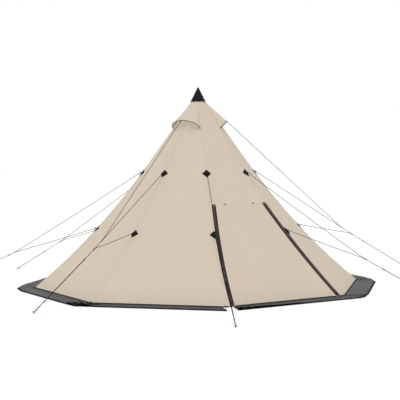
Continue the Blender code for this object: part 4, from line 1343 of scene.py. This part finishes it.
@dataclass(frozen=True)
class Cap(Assembly):
    """The pointed cap over the neck, with a scalloped, stitched hem."""

    hem: float = 2.776
    top: float = 3.000
    scallop: float = 0.012
    hollow: float = 0.0022
    clearance: float = 0.0051
    cloth: float = 0.0030
    groove: float = 0.0008
    tip_radius: float = 0.007
    per_side: int = 8
    round_hem: float = 0.72
    slant: float = 0.23

    def rings(self, share: Array, out: Array, drop: float) -> Array:
        """Rings of points: straight between corners in plan, hollowed a little, above a hem of shallow arches.

        Args:
            share: How far up each ring is, from 0 at the hem to 1 at the tip.
            out: How far out from the tent each ring is at the hem.
            drop: How far below the top the tip ends.

        Returns:
            Points, rings by columns by 3.
        """
        share = share[:, None]
        radius = float(self.form.radius(self.hem)) * (1 - share) + self.tip_radius * share
        out = out[:, None] * (1 - share)
        t = np.arange(self.per_side) / self.per_side
        bow = 4 * t * (1 - t)
        low = self.hem + self.scallop * bow
        height = low + (self.top - drop - low) * share
        sides = []
        for k in range(self.form.sides):
            here, there = (self.form.corner(j, radius, out) for j in (k, k + 1))
            dent = (self.hollow * bow * np.sin(math.pi * share))[..., None]
            sides.append(raised(here + (there - here) * t[:, None] - self.form.normal(k) * dent, height))
        return np.concatenate(sides, axis=1)

    def build(self) -> None:
        """Make the cap: its skin, the lid that closes the tip, and a nub on it."""
        shares = np.concatenate([[0, 0.012, 0.05, 0.058], np.linspace(0.1, 0.97, 18), [0.99]])
        grooved = (shares > 0.012) & (shares < 0.055)
        outer = self.rings(shares, self.clearance + self.cloth - self.groove * grooved, 0.0)
        inner = self.rings(shares, np.full(len(shares), self.clearance), 0.012)
        inner[-1] = inner[-1] * np.array([0.5, 0.5, 1.0])
        around = np.linspace(0, self.round_hem, outer.shape[1])
        uv = paired(around[None, :] * (1 - shares[:, None] * 0.9), shares[:, None] * self.slant)
        seam = np.broadcast_to(np.abs(shares[:, None] * self.slant - 0.004), outer.shape[:2])
        skin = shell("skin", outer, inner, wrap=True, uv=uv, seam=seam)
        tip = np.array([outer[-1], outer[-1] * np.array([0.6, 0.6, 0]) + np.array([0, 0, self.top - 0.0006]),
                        outer[-1] * np.array([0.2, 0.2, 0]) + np.array([0, 0, self.top])])
        lid = shell("lid", tip, tip - np.array([0, 0, 0.0015]), wrap=True)
        centre = tip[-1].mean(axis=0)
        nub = tube("nub", centre - np.array([[0, 0, 0.004], [0, 0, 0.0005]]), np.array([0.0022, 0.0018]), 12)
        piece = merged("apex_cap_cloth", [skin, lid, nub])
        self.palette.settle(piece, "cap", Slot.CAP, "apex_cap")


# Skirt

@dataclass(frozen=True)
class Skirt(Assembly):
    """The coated strip on the ground: seven sides and a corner in one, and the door's own."""

    width: float = 0.308
    tuck: float = 0.012
    flat: float = 0.060
    cloth: float = 0.0012
    off_ground: float = 0.0002
    wave: float = 0.006
    crest: float = 0.009
    crumples: tuple[float, ...] = (0.003, 0.008, 0.007, 0.003, 0.003, 0.003, 0.005, 0.014)
    crumple_reach: float = 0.30
    highest: float = 0.024
    end_gap: float = 0.035
    split: float = 0.006
    door_outer_half: float = 1.000
    door_inset: float = 0.005
    reach: tuple[float, ...] = (0.325, 0.300, 0.245, 0.300, 0.300, 0.300, 0.257, 0.316)
    bays: int = 6
    steps: int = 46
    front_steps: int = 8

    def across(self) -> Array:
        """Distances out from the wall's foot at which the strip has a row of points."""
        return np.array([-self.tuck, -0.004, 0.0, 0.006, 0.02, 0.035, 0.05, self.flat, 0.09, 0.12, 0.15, 0.18,
                         0.21, 0.24, 0.27, 0.29, self.width])

    def lift(self, along: Array, out: Array, corner: Array, crumple: Array | float,
             seed: int) -> tuple[Array, Array]:
        """Height of the strip's underside: slack waves, a crest behind the hem, and crumples near the corners.

        Args:
            along: Distance along the strip in metres.
            out: Distance out from the wall's foot.
            corner: Distance from the nearest corner of the strip.
            crumple: Height of that corner's crumples.
            seed: Seed of the waves.

        Returns:
            Heights above the ground, and distances from the nearest place of painted shade: the hem, or a fold's
            valley.
        """
        rng = np.random.default_rng(seed)
        rise = smooth(self.flat, 0.25, out) * (1 - 0.9 * smooth(0.268, self.width, out))
        total = self.crest * rise * np.ones(np.broadcast(along, out).shape)
        for _ in range(4):
            wave = 2 * math.pi / rng.uniform(0.35, 1.1)
            phase = along * wave + rng.uniform(0, FULL_TURN) + out * 6
            total = total + 0.25 * self.wave * (1 + np.sin(phase)) * rise
        folds = np.abs(np.sin(along * 27 + out * 22)) * np.abs(np.sin(along * 11 - out * 31 + 1.0))
        reach = crumple * np.exp(-(corner / self.crumple_reach) ** 2) * smooth(-self.tuck, self.flat, out)
        # Painted shade: the hem and the valleys of the corner crumples get the skirt's dark rim colour in place
        # of their shadow.
        dark = np.minimum(self.width - out + 0.0005, 0.05 - reach * (1.2 + 6.0 * folds))
        return np.clip(total + reach * folds * rise, 0.0, self.highest), dark

    def build(self) -> None:
        """Make both strips."""
        self.ground()
        self.door()

    def station(self, k: int, share: float) -> Array:
        """Points across the strip on side k, bent so that its edge runs straight to the tip beside a corner.

        Args:
            k: Number of the side.
            share: How far along the side.

        Returns:
            Plan points, from the tuck to the edge.
        """
        form, out, bay = self.form, self.across(), 1 / self.bays
        base = np.full(len(out), form.base_radius)
        here, there = form.corner(k, base, out), form.corner(k + 1, base, out)
        row = here + (there - here) * share
        for near, joint in ((share, k), (1 - share, k + 1)):
            if near < bay and 1 <= joint < form.sides:
                tip = bearing(form.ridge_angle(joint)) * (form.base_radius + self.reach[joint])
                inner = here + (there - here) * (bay if joint == k else 1 - bay)
                edge = tip + (inner[-1] - tip) * near / bay
                ease = np.clip((out - self.flat) / (self.width - self.flat), 0, 1)[:, None]
                line = row[out <= self.flat][-1]
                row = np.where(ease > 0, line + (edge - line) * ease, row)
        return row

    def end_row(self, out: Array, share: Array | float, beyond: float) -> Array:
        """Plan points of the door's strip, which widens from the doorway to its edge.

        Args:
            out: Distances out from the wall's foot.
            share: How far from its middle to its end, from -1 to 1.
            beyond: Distance added past that.

        Returns:
            Plan points.
        """
        inner_half = self.form.zip_half_foot - self.door_inset
        half = inner_half + (self.door_outer_half - inner_half) * np.clip(out / self.width, 0, 1)
        return paired(share * half + beyond, float(self.form.front_y(0.0)) - out)

    def ground(self) -> None:
        """The strip from the door's right end round the seven other sides."""
        form, out = self.form, self.across()
        first, corner = self.end_row(out, 1.0, self.split), self.station(1, 0.0)
        passed = float(np.linalg.norm(corner[2] - first[2]))
        shares = [i / self.front_steps for i in range(self.front_steps)]
        stations = [first + (corner - first) * share for share in shares]
        along, corners = [passed * share for share in shares], [passed * (1 - share) for share in shares]
        heights = [self.crumples[1]] * self.front_steps
        for k in range(1, form.sides):
            side = float(form.width(k, np.array(0.0)))
            stop = 1 - self.end_gap / side if k == form.sides - 1 else 1.0
            for share in np.linspace(0, stop, self.steps + 1)[0 if k == 1 else 1:]:
                stations.append(self.station(k, float(share)))
                along.append(passed + share * side)
                corners.append(min(share, 1 - share) * side)
                heights.append(self.crumples[(k if share < 0.5 else k + 1) % form.sides])
            passed += side
        run, near = np.array(along)[:, None], np.array(corners)[:, None]
        ends = smooth(0.0, 0.12, np.minimum(run, run.max() - run))
        # dark holds distances from the skirt's painted shade: its hem and the valleys of the corner crumples.
        rise, dark = self.lift(run, out[None, :], near, np.array(heights)[:, None] * ends, 7)
        low = raised(np.array(stations), rise + self.off_ground)
        high = low + np.array([0, 0, self.cloth])
        piece = shell("ground_skirt_cloth", high, low, uv=paired(run, out[None, :]), seam=dark)
        self.palette.settle(piece, "skirt", Slot.DARK, "ground_skirt")

    def door(self) -> None:
        """The strip sewn to the door, with a wedge of painted shade at its left in place of one crease's shadow.
        """
        out = self.across()
        share = np.linspace(-1, 1, 61)[:, None]
        plan = self.end_row(out, share, 0.0)
        x = plan[..., 0]
        rise, dark = self.lift(x + 30, out[None, :], (1 + share) * 0.6, 0.008, 23)
        # A wedge of painted shade: the dark rim colour laid in at the left end, standing in for a crease's
        # shadow.
        wedge = smooth(0.11, 0.20, out[None, :] - 0.1 * (share + 1)) * smooth(0.6, 0.2, share)
        dark = np.minimum(dark, 0.05 - 0.04 * wedge)
        low = raised(plan, rise + self.off_ground)
        high = low + np.array([0, 0, self.cloth])
        piece = shell("door_skirt_cloth", high, low, uv=paired(x, out[None, :]), seam=dark)
        self.palette.settle(piece, "skirt", Slot.DARK, "door_skirt", Body.DOOR)


# Zips and small fittings

@dataclass(frozen=True)
class Zips(Assembly):
    """Both zips: a tape on the doorway's edge, a tape on the door, and the coil between them."""

    frame_width: float = 0.036
    door_width: float = 0.034
    foot: float = 0.010
    door_foot: float = 0.012
    door_drop: float = 0.006
    head_rise: float = 0.015
    gap: float = 0.0003
    door_gap: float = 0.0009
    head_gap: float = 0.0006
    tape: float = 0.0035
    coil_offset: float = 0.008
    coil_half: float = 0.0038
    coil_rise: float = 0.0022
    coil_pitch: float = 0.0034
    frame_profile: tuple[float, ...] = (0.25, 0.75, 0.95, 1, 1, 0.97, 0.93, 0.9, 0.85, 0.7, 0.2)
    head_profile: tuple[float, ...] = (0.2, 0.8, 0.95, 0.97, 0.97, 0.97, 0.97, 0.97, 0.95, 0.8, 0.2)
    door_profile: tuple[float, ...] = (0.2, 0.7, 0.86, 0.92, 0.96, 1, 0.95, 0.7, 0.25)

    def layer(self, side: Side, z: Array, across: Array, out: Array) -> Array:
        """Points at heights and at distances out from the doorway's slanting edge and from the front's face."""
        x = self.form.zip_x(z)[:, None] + across
        return np.stack([side.value * x, spread(self.form.front_y(z), x) - out, spread(z, x)], axis=-1)

    def band(self, name: str, side: Side, start: float, stop: float, low: float, high: float,
             profile: Sequence[float]) -> bpy.types.Object:
        """A strip beside the doorway's edge with a given cross-section.

        Args:
            name: Name of the piece.
            side: Which side of the door.
            start: Distance of the strip's first edge out from the doorway's edge.
            stop: Distance of its other edge.
            low: Lowest height.
            high: Highest height.
            profile: Share of the tape's thickness at even steps from start to stop.

        Returns:
            The strip.
        """
        z = np.linspace(low, high, 90)
        across = np.linspace(start, stop, len(profile))
        outer = self.layer(side, z, across, self.gap + self.tape * np.asarray(profile))
        inner = self.layer(side, z, across, np.full(len(profile), self.gap))
        slant = travelled(np.stack([z, self.form.front_y(z)], axis=1))
        return shell(name, outer, inner, uv=paired(across[None, :], slant[:, None]))

    def build(self) -> None:
        """Make both zips."""
        top = self.form.door_top
        for side in Side:
            strip = self.band("strip", side, 0.0003, self.frame_width, self.foot, top, self.frame_profile)
            head = self.band("head", side, -self.door_width, self.frame_width, top + self.head_gap,
                             top + self.head_rise, self.head_profile)
            tape = merged(f"zip_tape_{side.word}", [strip, head])
            self.palette.settle(tape, "tape", Slot.ZIP, f"door_zip_{side.word}")
            flap = self.band(f"zip_door_tape_{side.word}", side, -self.door_width, -self.door_gap, self.door_foot,
                             top - self.door_drop, self.door_profile)
            self.palette.settle(flap, "tape", Slot.ZIP, body=Body.DOOR)
            self.coil(side)

    def coil(self, side: Side) -> None:
        """A bead of coil on the tape: half a round whose height ripples once for each tooth.

        Args:
            side: Side of the door.
        """
        z = np.linspace(self.foot + 0.004, self.form.door_top + self.head_rise - 0.004, 1500)
        rib = 0.75 + 0.25 * np.sin(2 * math.pi * z / self.coil_pitch)
        turn = np.linspace(0, math.pi, 9)
        across = self.coil_offset - self.coil_half * np.cos(turn)
        rise = self.coil_rise * np.sin(turn)[None, :] * rib[:, None]
        base = self.gap + self.tape * 0.97
        outer = self.layer(side, z, across, base + rise)
        piece = shell(f"zip_coil_{side.word}", outer, self.layer(side, z, across, np.full(9, base - 0.0006)))
        self.palette.settle(piece, "coil", Slot.ZIP)


@dataclass(frozen=True)
class Toggles(Assembly):
    """Two turned toggles above the door, each on a loop of tape."""

    spacing: float = 0.490
    rise: float = 0.010
    length: float = 0.034
    radius: float = 0.006
    waist: float = 0.62
    loop_half_depth: float = 0.0052
    loop_half_height: float = 0.0105
    loop_rise: float = 0.004
    strap_radius: float = 0.0016

    def build(self) -> None:
        """Make both toggles: a bar that narrows to its waist and rounds off at its ends."""
        z = self.form.door_top + self.rise
        y = float(self.form.front_y(z)) - self.radius * 0.9
        share = np.linspace(-1, 1, 25)
        end = np.sqrt(np.clip(1.02 - np.abs(share) ** 8, 0.05, 1))
        radius = self.radius * (self.waist + (1 - self.waist) * smooth(0.1, 0.5, np.abs(share))) * end
        turn = circle(26)
        for side in Side:
            x = side.value * self.spacing / 2
            path = np.stack([x + share * self.length / 2, np.full(25, y), np.full(25, z)], axis=1)
            self.palette.settle(tube(f"toggle_{side.word}", path, radius, 18), "toggle", Slot.CANOPY)
            loop = np.stack([np.full(26, x), y + self.loop_half_depth * np.cos(turn),
                             z + self.loop_rise + self.loop_half_height * np.sin(turn)], axis=1)
            strap = tube(f"toggle_loop_{side.word}", loop, self.strap_radius, 8, closed=True)
            self.palette.settle(strap, "tan webbing", Slot.CANOPY)


@dataclass(frozen=True)
class RidgeFittings(Assembly):
    """Guy patches, their rings on webbing tabs, and the peg loop at each ridge's foot."""

    patch_half: float = 0.070
    patch_out: float = 0.0024
    patch_cloth: float = 0.0018
    patch_at_zip: float = 0.0195
    eye_radius: float = 0.011
    eye_rod: float = 0.003
    eye_sink: float = 0.002
    ring_rod: float = 0.0027
    tab_half: float = 0.010
    tab_cloth: float = 0.0011
    loop_radius: float = 0.014
    strap_half: float = 0.0125
    strap_cloth: float = 0.0014
    peg_rod: float = 0.004
    gap: float = 0.0003

    def eye(self, k: int, z: float) -> Array:
        """Centre of a guy eye, square out from its ridge, as distance and height in the ridge's plane."""
        normal = unit(np.array([1.0, -self.form.slope(z)]))
        return np.array([self.form.face(k, z), z]) + normal * (self.eye_radius + self.eye_rod - self.eye_sink)

    def peg_loop(self, k: int) -> Array:
        """Centre of the peg loop, as distance and height."""
        z = self.form.foot + self.eye_rod
        return np.array([self.form.face(k, z) + self.loop_radius + self.eye_rod - self.eye_sink, z])

    def patch(self, k: int, z: float) -> bpy.types.Object:
        """A square of dark cloth set as a diamond over a ridge, its width the less the further from its middle.

        Args:
            k: Number of the ridge.
            z: Height of its middle.

        Returns:
            The patch.
        """
        form = self.form
        slant = math.hypot(1.0, form.slope(z))
        up = share = np.linspace(-1, 1, 29)
        height = z + up * self.patch_half / slant
        reach = (self.patch_half * (1 - np.abs(up)) + 0.0004)[:, None] * np.abs(share)
        if z < form.door_top and k < 2:
            towards_zip = share > 0 if k == 0 else share < 0
            reach = np.where(towards_zip, np.minimum(reach, self.patch_at_zip), reach)
        step = np.where((share > 0)[:, None], form.along(k), -form.along(k - 1)) * reach[..., None]
        middle = form.corner(k, form.radius(height)[:, None], self.patch_out)
        inner = raised(middle + step, spread(height, reach))
        outer = inner + unit(np.array([*bearing(form.ridge_angle(k)), -form.slope(z)])) * self.patch_cloth
        uv = paired(share[None, :] * self.patch_half, up[:, None] * self.patch_half)
        rim = (1 - np.maximum(np.abs(share)[None, :], np.abs(up)[:, None])) * self.patch_half * 0.7
        return shell("patch", outer, inner, uv=uv, seam=rim)

    def tab(self, k: int, z: float) -> bpy.types.Object:
        """A strip of webbing sewn down at both ends that arches through the ring.

        Args:
            k: Number of the ridge.
            z: Height of the ring.

        Returns:
            The tab.
        """
        form = self.form
        tangent, normal = unit(np.array([form.slope(z), 1.0])), unit(np.array([1.0, -form.slope(z)]))
        base = np.array([form.face(k, z), z]) + normal * 0.0006
        ring = self.eye(k, z) - normal * self.eye_radius
        rising = np.array([base + tangent * 0.026, base + tangent * 0.014 + normal * 0.0006,
                           base + tangent * 0.006 + normal * 0.0022, ring + tangent * 0.0042 + normal * 0.0006])
        falling = np.array([ring - tangent * 0.0042 + normal * 0.0006, base - tangent * 0.006 + normal * 0.0022,
                            base - tangent * 0.014 + normal * 0.0006, base - tangent * 0.026])
        route = np.concatenate([rising, [ring + normal * 0.0042], falling])
        aside = np.linspace(-self.tab_half, self.tab_half, 5)
        outer = form.on_ridge(k, route[:, :1], route[:, 1:], aside)
        inner = outer - np.array([*(bearing(form.ridge_angle(k)) * normal[0]), normal[1]]) * self.tab_cloth
        return shell("tab", outer, inner, uv=paired(aside[None, :], travelled(route)[:, None]))

    def strap(self, k: int) -> bpy.types.Object:
        """A strip of webbing from the ridge's foot down into the peg loop.

        Args:
            k: Number of the ridge.

        Returns:
            The strap.
        """
        centre = self.peg_loop(k)
        sewn = [[self.form.face(k, z) + 0.001, z] for z in (0.024, 0.01)]
        route = np.array([*sewn, [centre[0] - self.loop_radius + 0.0045, centre[1] + 0.0035]])
        aside = np.linspace(-self.strap_half, self.strap_half, 5)
        outer, inner = (self.form.on_ridge(k, route[:, :1] + out, route[:, 1:], aside)
                        for out in (self.strap_cloth, 0.0))
        return shell("strap", outer, inner, uv=paired(aside[None, :], route[:, 1:]))

    def build(self) -> None:
        """Make the fittings of every ridge."""
        form, turn = self.form, circle(32)
        heights = (form.lower_guy_height, form.upper_guy_height)
        for k in range(form.sides):
            centres = [self.eye(k, z) for z in heights]
            paths = [form.on_ridge(k, centre[0] + self.eye_radius * np.cos(turn),
                                   centre[1] + self.eye_radius * np.sin(turn)) for centre in centres]
            centre = self.peg_loop(k)
            paths.append(form.on_ridge(k, centre[0] + self.loop_radius * np.cos(turn), centre[1],
                                       self.loop_radius * np.sin(turn)))
            rings = [tube("ring", path, self.ring_rod, 10, closed=True) for path in paths]
            cloths, tabs = [self.patch(k, z) for z in heights], [self.tab(k, z) for z in heights]
            for name, parts, finish, slot in (("guy_rings", rings, "plastic", Slot.PLASTIC),
                                              ("guy_patches", cloths, "patch", Slot.DARK),
                                              ("webbing_tabs", tabs, "webbing", Slot.DARK),
                                              ("peg_strap", [self.strap(k)], "brown webbing", Slot.DARK)):
                self.palette.settle(merged(f"{name}_{k + 1}", parts), finish, slot)


# Cords, runners and pegs

@dataclass(frozen=True)
class GuyLines(Assembly):
    """The eight guy lines: two legs, or three at a vent, that meet in a whipping and run doubled to a peg."""

    fittings: RidgeFittings
    vents: Vents
    cord_radius: float = 0.0036
    junction: tuple[float, float] = (2.780, 0.547)
    peg_distance: tuple[float, ...] = (4.064, 3.950, 3.570, 3.950, 3.950, 3.800, 3.950, 3.570)
    peg_aside: tuple[float, ...] = (-0.135, 0.0, 0.0, 0.0, 0.0, 0.120, 0.0, 0.0)
    crossing: float = 0.014
    sag: float = 0.008
    leg_loop: float = 0.008
    link_gap: float = 0.0008
    vent_leg_share: float = 0.90
    set_at: tuple[float, ...] = (0.30, 0.34, 0.25, 0.30, 0.32, 0.45, 0.09, 0.26)
    whipping: float = 0.060
    whipping_radius: float = 0.0072
    whipping_turns: int = 11
    hitch_radius: float = 0.0052
    vent_hitch_radius: float = 0.0064
    runner_reach: float = 0.071
    runner_half: float = 0.03
    travel: tuple[float, ...] = (0.75, 0.75, 0.75, 0.75, 0.75, 0.60, 0.75, 0.75)

    def ends(self, k: int) -> tuple[Array, Array]:
        """Junction and peg crossing, in the upright plane of the upper eye and the peg.

        Args:
            k: Number of the ridge.

        Returns:
            Two points in space.
        """
        distance, height = self.vents.junction if k in VENT_SIDES else self.junction
        eye = self.fittings.eye(k, self.form.upper_guy_height)[0]
        aside = self.peg_aside[k] * (distance - eye) / (self.peg_distance[k] - eye)
        return (self.form.on_ridge(k, distance, height, aside),
                self.form.on_ridge(k, self.peg_distance[k], self.crossing, self.peg_aside[k]))

    def leg(self, eye: Array, eye_radius: float, end: Array, sag: float) -> tuple[Array, Array]:
        """A leg that hangs as a parabola from its loop to its end.

        Args:
            eye: Centre of the eye that its loop goes through.
            eye_radius: Radius of that eye's ring.
            end: Where it ends.
            sag: How far its middle hangs.

        Returns:
            Points along the leg, and the middle of the loop.
        """
        pull = unit(end - eye)
        reach = eye_radius + self.leg_loop - self.cord_radius - self.fittings.eye_rod - self.link_gap
        middle = eye + pull * reach
        start = middle + pull * self.leg_loop
        share = np.linspace(0, 1, 25)[:, None]
        return start + (end - start) * share - np.array([0, 0, 4 * sag]) * share * (1 - share), middle

    def loop(self, middle: Array, pull: Array) -> list[bpy.types.Object]:
        """A loop through an eye, square to the eye's ring, with the hitch that closes it.

        Args:
            middle: Middle of the loop.
            pull: Direction of the cord.

        Returns:
            The loop and the hitch.
        """
        turn = circle(28)[:, None]
        path = middle + self.leg_loop * (pull * np.cos(turn) + level_side(pull) * np.sin(turn))
        start = middle + pull * (self.leg_loop + 0.001)
        return [tube("loop", path, self.cord_radius, 10, closed=True),
                self.wraps(start, pull, 0.026, self.hitch_radius, 5)]

    def wraps(self, start: Array, pull: Array, length: float, radius: float, turns: int) -> bpy.types.Object:
        """Cord wound round itself: a bar with one rib for each turn, narrower at both ends.

        Args:
            start: Where it starts.
            pull: Direction of the cord.
            length: Length of the winding.
            radius: Radius over the ribs.
            turns: Number of turns.

        Returns:
            The winding.
        """
        share = np.linspace(0, 1, turns * 8 + 1)
        ribs = radius * (0.84 + 0.16 * np.abs(np.sin(math.pi * turns * share)))
        ribs[[0, -1]] *= 0.7
        return tube("wraps", start + pull * (share * length)[:, None], ribs, 12)

    def main_route(self, k: int) -> Array:
        """The cord's own line from the upper eye, through the runner, round the peg and back to the runner.

        Args:
            k: Number of the ridge.

        Returns:
            Points along the cord.
        """
        junction, peg = self.ends(k)
        eye = self.form.on_ridge(k, *self.fittings.eye(k, self.form.upper_guy_height))
        leg, _ = self.leg(eye, self.fittings.eye_radius, junction, 0.0 if k in VENT_SIDES else self.sag)
        forward, aside = unit(peg - junction), level_side(peg - junction)
        lift = np.cross(forward, aside)
        across = self.fittings.peg_rod + self.cord_radius + self.fittings.gap
        close = self.cord_radius * 1.05
        length = float(np.linalg.norm(peg - junction))
        runner = self.set_at[k]
        run = np.linspace(runner + self.runner_half, length, 70)
        share = (run - run[0]) / (run[-1] - run[0])
        apart = close + (across - close) * smooth(0.86, 1.0, share)
        twist = 2 * math.pi * smooth(runner + self.travel[k] + self.runner_half, length - 0.02, run)
        offset = (np.cos(twist)[:, None] * aside + np.sin(twist)[:, None] * lift) * apart[:, None]
        line = junction + forward * run[:, None]
        turn = np.linspace(0, math.pi, 11)[1:-1, None]
        bend = peg + across * (np.cos(turn) * aside + np.sin(turn) * forward)
        straight = junction + forward * np.linspace(0.004, max(runner - self.runner_half, 0.005), 8)[:, None]
        tail = junction + forward * np.array([runner, runner - 0.012])[:, None] - aside * close
        into = (junction + forward * runner + aside * close)[None]
        return np.concatenate([leg[:-1], straight, into, line + offset, bend, (line - offset)[::-1], tail])

    def build(self) -> None:
        """Make every guy line."""
        for k in range(self.form.sides):
            self.line(k)

    def line(self, k: int) -> None:
        """One guy line with its legs, loops and whipping.

        Args:
            k: Number of the ridge.
        """
        form, radius = self.form, self.fittings.eye_radius
        junction, peg = self.ends(k)
        pull = unit(peg - junction)
        upper, lower = (form.on_ridge(k, *self.fittings.eye(k, z))
                        for z in (form.upper_guy_height, form.lower_guy_height))
        middle = self.leg(upper, radius, junction, 0.0)[1]
        knots = self.loop(middle, unit(junction - upper))
        whipping = min(self.whipping, self.set_at[k] - self.runner_reach)
        turns = round(self.whipping_turns * whipping / self.whipping)
        knots.append(self.wraps(junction - pull * 0.004, pull, whipping, self.whipping_radius, turns))
        main = self.cord(f"guy_cord_{k + 1}", resample(self.main_route(k), 0.012), knots)
        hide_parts(f"guy_line_{k + 1}")
        leg, middle = self.leg(lower, radius, junction, self.sag / 2)
        self.cord(f"guy_lower_leg_{k + 1}", resample(leg, 0.02), self.loop(middle, unit(junction - lower)))
        if k in VENT_SIDES:
            eye = form.on_ridge(k, *self.vents.hoop_eye(k))
            meet = upper + (junction - upper) * self.vent_leg_share
            leg, middle = self.leg(eye, self.vents.eye_radius, meet, 0.0)
            run = unit(junction - upper)
            knots = self.loop(middle, unit(meet - eye))
            knots.append(self.wraps(meet - run * 0.02, run, 0.05, self.vent_hitch_radius, 9))
            self.cord(f"guy_vent_leg_{k + 1}", resample(leg, 0.02), knots)

    def cord(self, name: str, points: Array, knots: Sequence[bpy.types.Object]) -> bpy.types.Object:
        """One cord with the hitches on it.

        Args:
            name: Name of the cord.
            points: Its middle line.
            knots: Meshes of its loops and windings.

        Returns:
            The cord.
        """
        piece = tube(name, points, self.cord_radius, 9)
        hitch = merged(name.replace("guy", "guy_hitch"), knots)
        for obj in (piece, hitch):
            self.palette.settle(obj, "cord", Slot.CORD)
        return piece


@dataclass(frozen=True)
class Pegs(Assembly):
    """Bent steel pegs with a point and a hook."""

    lines: GuyLines
    rod: float = 0.004
    hook: float = 0.007
    head: float = 0.016
    guy_length: float = 0.240
    corner_length: float = 0.220
    corner_lean: float = math.radians(12)

    def route(self, length: float) -> tuple[Array, Array]:
        """A peg's line in its own frame: a straight shaft, then an arc of 150 degrees.

        Args:
            length: Length of the shaft.

        Returns:
            Points, and the radius at each: narrow at the point, full along the shaft.
        """
        shaft = np.linspace(-length + self.head, self.head, 14)
        turn = np.linspace(0, math.pi * 5 / 6, 15)[1:]
        hook = self.hook * np.stack([1 - np.cos(turn), np.zeros_like(turn), np.sin(turn)], axis=1)
        straight = np.stack([np.zeros(14), np.zeros(14), shaft], axis=1)
        line = np.concatenate([straight, hook + np.array([0, 0, self.head])])
        share = np.ones(len(line))
        share[[0, 1, -1]] = 0.25, 0.95, 0.8
        return line, self.rod * share

    def place(self, name: str, at: Array, outward: Array, length: float) -> None:
        """Make one peg.

        Args:
            name: Name of the peg's node.
            at: Where it crosses its loop.
            outward: Direction its hook points in, square to its shaft.
            length: Length of the shaft.
        """
        line, radius = self.route(length)
        shaft = np.cross(outward, level_side(outward))
        piece = tube(f"{name}_rod", at + line[:, :1] * outward + line[:, 2:] * shaft, radius, 16)
        self.palette.settle(piece, "steel", Slot.STEEL, name)

    def build(self) -> None:
        """Make every peg."""
        form, fittings = self.form, self.lines.fittings
        reach = fittings.loop_radius - fittings.eye_rod - self.rod - fittings.gap
        for k in range(form.sides):
            junction, crossing = self.lines.ends(k)
            self.place(f"guy_peg_{k + 1}", crossing, unit(crossing - junction), self.guy_length)
            loop = fittings.peg_loop(k)
            ray = bearing(form.ridge_angle(k)) * math.cos(self.corner_lean)
            self.place(f"corner_peg_{k + 1}", form.on_ridge(k, loop[0] + reach, loop[1]),
                       np.array([*ray, -math.sin(self.corner_lean)]), self.corner_length)


# Stage

@dataclass(frozen=True)
class Stage:
    """Camera, floor and light."""

    focal_pixels: float = 1098.0
    distance: float = 16.736
    height: float = 2.127
    azimuth: float = math.radians(-31.341)
    yaw: float = math.radians(-0.062)
    pitch: float = math.radians(-2.878)
    roll: float = math.radians(-0.383)
    picture: int = 400
    sensor: float = 36.0
    floor_radius: float = 60.0
    floor_drop: float = 0.0006
    floor_drift_mm: float = 1428.57
    sky: float = 1.0
    key: float = 0.6
    key_spread: float = math.radians(50)
    key_aim: tuple[float, float, float] = (0.40, 0.30, -0.90)

    def camera(self) -> None:
        """A camera where the photographer stood."""
        turn = self.azimuth + self.yaw
        level = math.cos(self.pitch)
        forward = Vector((-math.sin(turn) * level, math.cos(turn) * level, math.sin(self.pitch)))
        right = forward.cross(Vector((0, 0, 1))).normalized()
        up = right.cross(forward)
        c, s = math.cos(self.roll), math.sin(self.roll)
        right, up = right * c + up * s, up * c - right * s
        data = bpy.data.cameras.new("photo_camera")
        data.sensor_width = self.sensor
        data.lens = self.focal_pixels * self.sensor / self.picture
        data.clip_end = 200
        obj = bpy.data.objects.new("photo_camera", data)
        place = Matrix((right, up, -forward)).transposed().to_4x4()
        place.translation = Vector((self.distance * math.sin(self.azimuth),
                                    -self.distance * math.cos(self.azimuth), self.height))
        obj.matrix_world = place
        bpy.context.scene.collection.objects.link(obj)
        bpy.context.scene.camera = obj

    def floor(self) -> None:
        """A pale floor disc under the tent that carries its soft shadow."""
        # Painted floor: matt and almost white, with a faint drift of shade over a metre and a half.
        g = Graph("pale studio floor", "F4F4F3", 0.95)
        drift = g.add(Kind.NOISE, g.add(Kind.PLACE), per_metre(self.floor_drift_mm), 2.0)
        g.feed(g.shader, {"Base Color": g.add(Kind.MIX, drift, "F6F6F5", "F2F2F1")})
        turn = circle(96)
        rim = np.stack([self.floor_radius * np.cos(turn), self.floor_radius * np.sin(turn),
                        np.full(96, -self.floor_drop)], axis=1)
        floor = finish_mesh("studio_floor", rim, np.empty((0, 4), dtype=int), [list(range(96))])
        floor.data.materials.append(g.material)

    def light(self) -> None:
        """An even white surround with a soft key from the upper left and behind the camera."""
        world = bpy.data.worlds.new("white_surround")
        world.use_nodes = True
        background = world.node_tree.nodes["Background"]
        background.inputs["Color"].default_value = (1, 1, 1, 1)
        background.inputs["Strength"].default_value = self.sky
        bpy.context.scene.world = world
        lamp = bpy.data.lights.new("soft_key", "SUN")
        lamp.energy = self.key
        lamp.angle = self.key_spread
        sun = bpy.data.objects.new("soft_key", lamp)
        sun.rotation_euler = Vector(self.key_aim).to_track_quat("-Z", "Y").to_euler()
        bpy.context.scene.collection.objects.link(sun)

    def build(self) -> None:
        """Set the whole stage."""
        bpy.context.scene.view_settings.view_transform = "Standard"
        self.camera()
        self.floor()
        self.light()


def note_sizes() -> None:
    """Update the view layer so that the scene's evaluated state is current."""
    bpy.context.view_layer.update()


def main() -> None:
    """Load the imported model, set the stage and dress the tent."""
    logging.basicConfig(level=logging.INFO, format="%(name)s: %(message)s")
    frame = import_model()
    form, palette = TentForm(), Palette()
    Stage().build()
    palette.build()
    vents, fittings = Vents(form, palette), RidgeFittings(form, palette)
    lines = GuyLines(form, palette, fittings, vents)
    lines.build()
    Canopy(form, palette, vents).build()
    vents.build()
    for kind in (Cap, Skirt, Zips, Toggles):
        kind(form, palette).build()
    fittings.build()
    Pegs(form, palette, lines).build()
    palette.carry(frame["nodes"])
    note_sizes()
    LOG.info("tent dressed")


if __name__ == "__main__":
    main()
